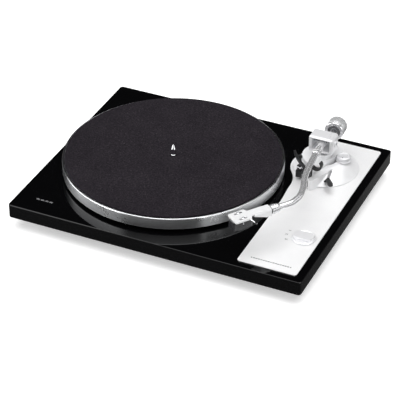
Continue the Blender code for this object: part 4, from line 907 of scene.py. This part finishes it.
def makeHeadshell():
    place = axisPlace(jointPlace("collar_turn"), joints["collar_turn"]["axis"])
    alongY = place @ Matrix.Rotation(-math.pi / 2, 4, "X")
    radius, length, bore = shellSizes["collar"], shellSizes["collarLength"], shellSizes["bore"]
    nut = [(bore, 0.0, 0.1), (radius - 0.4, 0.0, 0.3), (radius, 0.6, 0.3), (radius, 4.9, 0.2),
           (radius - 0.5, 5.2, 0.2),
           (radius - 0.5, 6.2, 0.2), (radius, 6.5, 0.2), (radius, length - 3.0, 0.4),
           (radius - 1.0, length - 0.6, 0.4),
           (radius - 1.2, length, 0.2), (bore, length, 0.1)]
    collar = turnedPiece("collarNut", nut, "satinChrome", alongY, 60, True)
    ribPlace = alongY @ Matrix.Translation((0.0, 0.0, 2.75 * mm))
    ribs = barRing("collarRibs", shellSizes["ribs"], radius, shellSizes["rib"], "satinChrome", ribPlace)
    dressed(joined("lockingNut", [collar, ribs]), "collar", "chrome", "locking_collar")
    gasket = [(0.0, -1.7), (5.9, -1.7, 0.4), (5.9, -0.3, 0.4), (0.0, -0.3)]
    dressed(turnedPiece("shellWasher", gasket, "rubberBlack", alongY, 48), "tonearm", "rubber",
            "shell_gasket")
    dressed(refined("headshell", shellSizes["edge"], "castSilver", 3, 26.0), "tonearm", "silver_cast",
            "headshell")
    dressed(refined("cartridge_body", 0.5, "smokedPlastic", 3), "tonearm", "smoke", "cartridge_body")
    dressed(refined("stylus_holder", 0.3, "smokedPlastic", 2), "tonearm", "smoke", "stylus_holder")
    dressed(refined("finger_lift", 0.0, "brightChrome"), "tonearm", "chrome", "finger_lift")
    for name in ("left", "right"):
        node = "cartridge_screw_" + name
        low, high = boxOf(node)
        centre = (low + high) / 2
        bottom, top = low.z / mm, high.z / mm
        screw = [(0.0, bottom), (0.95, bottom, 0.2), (0.95, top - 1.1), (2.2, top - 1.1, 0.2),
                 (2.2, top - 0.3, 0.4),
                 (1.0, top, 0.1), (0.9, top - 0.6), (0.0, top - 0.6)]
        turn = Matrix.Translation((centre.x, centre.y, 0.0))
        dressed(turnedPiece("shellScrew_" + name, screw, "brightChrome", turn, 32), "tonearm", "steel",
                node)


# terminals at the back
terminalSizes = {"ring": 5.6, "shell": 4.15, "shellBore": 3.4, "nutRibs": 24, "nutRib": (0.5, 0.5, 5.0)}


def makeTerminals():
    dressed(refined("terminal_panel", 0.25, "satinBlack"), "deck", "satin_black", "terminal_panel")
    dressed(refined("usb_socket", 0.2, "turnedSteel"), "deck", "steel", "usb_socket")
    dressed(refined("power_inlet", 0.3, "satinBlack"), "deck", "satin_black", "power_inlet")
    dressed(refined("output_switch", 0.25, "satinBlack"), "slider", "satin_black", "output_switch")
    for side in ("left", "right"):
        dressed(refined("hinge_socket_" + side, 0.5, "satinBlack", 3), "deck", "satin_black",
                "hinge_socket_" + side)
    face = boxOf("terminal_panel")[1].y / mm
    for name, colour in (("left", "whitePlastic"), ("right", "redPlastic")):
        node = "phono_jack_" + name
        low, high = boxOf(node)
        centre = (low + high) / 2
        turn = Matrix.Translation((centre.x, 0.0, centre.z)) @ Matrix.Rotation(-math.pi / 2, 4, "X")
        back, tip = low.y / mm, high.y / mm
        shell, bore = terminalSizes["shell"], terminalSizes["shellBore"]
        jack = [(0.0, back), (shell, back, 0.3), (shell, face + 0.1),
                (terminalSizes["ring"], face + 0.1, 0.2),
                (terminalSizes["ring"], face + 1.6, 0.4), (shell, face + 1.7, 0.1), (shell, tip - 0.5, 0.3),
                (shell - 0.3, tip, 0.2), (bore, tip, 0.2), (bore, face + 4.0), (0.0, face + 4.0)]
        metal = turnedPiece("jackShell", jack, "gold", turn, 48)
        core = [(0.0, face + 3.9), (bore - 0.02, face + 3.9), (bore - 0.02, tip - 1.6, 0.2),
                (1.7, tip - 1.6, 0.2),
                (1.7, face + 5.2), (0.0, face + 5.2)]
        insert = turnedPiece("jackCore", core, colour, turn, 48)
        dressed(joined("phonoJack_" + name, [metal, insert]), "deck", "brass", node)
    low, high = boxOf("ground_nut")
    centre = (low + high) / 2
    turn = Matrix.Translation((centre.x, 0.0, centre.z)) @ Matrix.Rotation(-math.pi / 2, 4, "X")
    radius = (high.x - low.x) / 2 / mm - 0.3
    near, far = low.y / mm, high.y / mm
    nut = [(2.35, near, 0.1), (3.4, near, 0.2), (3.4, near + 0.8, 0.1), (radius, near + 0.9, 0.3),
           (radius, far - 0.3, 0.4),
           (radius - 0.8, far, 0.2), (2.35, far, 0.1)]
    body = turnedPiece("groundNutBody", nut, "turnedSteel", turn, 48, True)
    ribPlace = turn @ Matrix.Translation((0.0, 0.0, (near + far + 0.9) / 2 * mm))
    ribs = barRing("groundNutRibs", terminalSizes["nutRibs"], radius, terminalSizes["nutRib"],
                   "turnedSteel", ribPlace)
    dressed(joined("groundThumbNut", [body, ribs]), "ground_nut", "steel", "ground_nut")


# pieces inside, which keep the frame's shapes
insideFinishes = {"speed_switch": "satinBlack", "ground_post": "gold", "main_board": "circuitBoard",
                  "motor_plate": "turnedSteel", "motor_board": "circuitBoard", "stator_core": "ironStack",
                  "bearing_sleeve": "gold", "pillar_nut": "turnedSteel", "rest_pin": "turnedSteel",
                  "rotor_magnet": "ferrite", "cue_shaft": "turnedSteel"}


def dressInside():
    for node, finish in insideFinishes.items():
        materials = frame["nodes"][node].data.materials
        if len(materials) == 0:
            materials.append(finishes[finish])
        for slot in frame["nodes"][node].material_slots:
            slot.material = finishes[finish]


for make in (makePlinth, makeFeet, makeCover, makePlatter, makeControlPlate, makeSpeedKnob, makeArmBase,
             makeSkateKnob,
             makeLift, makeBearing, makeArm, makeWeight, makeHeadshell, makeTerminals, dressInside):
    make()
    print("made:", make.__name__)


# floor, light and camera
studio = {"floor": 60.0, "floorTone": 0.86, "floorLift": 0.42, "floorMirror": 0.12, "topLevel": 2.7,
          "topFrom": 0.70, "topTo": 0.86,
          "panels": ((-152.0, 42.0, 14.0, 3.2, -0.3, 0.60), (-28.5, 9.5, 0.8, 3.4, -0.3, 0.60),
                     (20.0, 38.0, 10.0, 0.9, -0.3, 0.50)), "ambient": 0.015}
view = {"azimuth": 24.576, "elevation": 34.387, "lens": 165.54, "place": (0.8610, -1.9034, 1.4246)}


def makeFloor():
    # a little brighter to the eye, and dark in the lacquer's reflections as if cards stood round the deck
    bm = bmesh.new()
    bmesh.ops.create_grid(bm, x_segments=8, y_segments=8, size=studio["floor"] / 2)
    mesh = bpy.data.meshes.new("studioFloor")
    bm.to_mesh(mesh)
    bm.free()
    material, tree, shader, place = emptyMaterial("paleFloor")
    tone = studio["floorTone"]
    grain = noiseNode(tree, place, 3.0, 3.0)
    stops = ((0.3, (tone - 0.01, tone - 0.01, tone - 0.01)), (0.7, (tone + 0.01, tone + 0.01, tone + 0.01)))
    setShader(tree, shader, {"Base Color": blendOf(tree, grain, stops), "Roughness": 0.9,
                             "Specular IOR Level": 0.0})
    path = addNode(tree, "ShaderNodeLightPath")
    glow = addNode(tree, "ShaderNodeEmission", {"Strength": studio["floorLift"]})
    lifted = addNode(tree, "ShaderNodeAddShader", {0: shader.outputs[0], 1: glow.outputs[0]})
    seen = addNode(tree, "ShaderNodeMixShader", {0: path.outputs["Is Camera Ray"], 1: shader.outputs[0],
                                                 2: lifted.outputs[0]})
    dim = addNode(tree, "ShaderNodeEmission", {"Strength": studio["floorMirror"]})
    mirrored = addNode(tree, "ShaderNodeMixShader", {0: path.outputs["Is Glossy Ray"], 1: seen.outputs[0],
                                                     2: dim.outputs[0]})
    tree.links.new(mirrored.outputs[0], tree.nodes["Material Output"].inputs["Surface"])
    mesh.materials.append(material)
    linked("studioFloor", mesh)


def makeLight():
    # a soft ceiling and three upright panels, each with its azimuth, half width, soft edge and strength
    world = bpy.data.worlds.new("studio")
    bpy.context.scene.world = world
    world.use_nodes = True
    tree = world.node_tree
    tree.nodes.clear()
    ray = addNode(tree, "ShaderNodeTexCoord").outputs["Generated"]
    height = addNode(tree, "ShaderNodeSeparateXYZ", {"Vector": ray}).outputs["Z"]
    level = rangeNode(tree, height, studio["topFrom"], studio["topTo"], studio["ambient"],
                      studio["topLevel"], "SMOOTHSTEP")
    for azimuth, half, soft, strength, low, high in studio["panels"]:
        turned = addNode(tree, "ShaderNodeVectorRotate", {"Vector": ray, "Angle": -math.radians(azimuth)},
                         rotation_type="Z_AXIS").outputs[0]
        parts = addNode(tree, "ShaderNodeSeparateXYZ", {"Vector": turned})
        swing = mathNode(tree, "ABSOLUTE", mathNode(tree, "ARCTAN2", parts.outputs["Y"],
                                                    parts.outputs["X"]))
        across = rangeNode(tree, swing, math.radians(half - soft), math.radians(half), 1.0, 0.0,
                           "SMOOTHSTEP")
        above = rangeNode(tree, height, high - 0.12, high, 1.0, 0.0, "SMOOTHSTEP")
        over = rangeNode(tree, height, low, low + 0.1, 0.0, 1.0, "SMOOTHSTEP")
        panel = mathNode(tree, "MULTIPLY", mathNode(tree, "MULTIPLY", across, above), over)
        level = mathNode(tree, "MULTIPLY_ADD", panel, strength, level)
    background = addNode(tree, "ShaderNodeBackground", {"Color": (1.0, 1.0, 1.0, 1.0), "Strength": level})
    addNode(tree, "ShaderNodeOutputWorld", {"Surface": background.outputs[0]})
    bpy.context.scene.view_settings.view_transform = "Standard"


def makeCamera():
    camera = bpy.data.cameras.new("camera")
    camera.lens = view["lens"]
    camera.sensor_width = 36.0
    camera.clip_end = 200.0
    stand = bpy.data.objects.new("camera", camera)
    bpy.context.scene.collection.objects.link(stand)
    stand.location = view["place"]
    stand.rotation_euler = (math.radians(90.0 - view["elevation"]), 0.0, math.radians(view["azimuth"]))
    bpy.context.scene.camera = stand


makeFloor()
makeLight()
makeCamera()
print("stage: floor, light and camera")
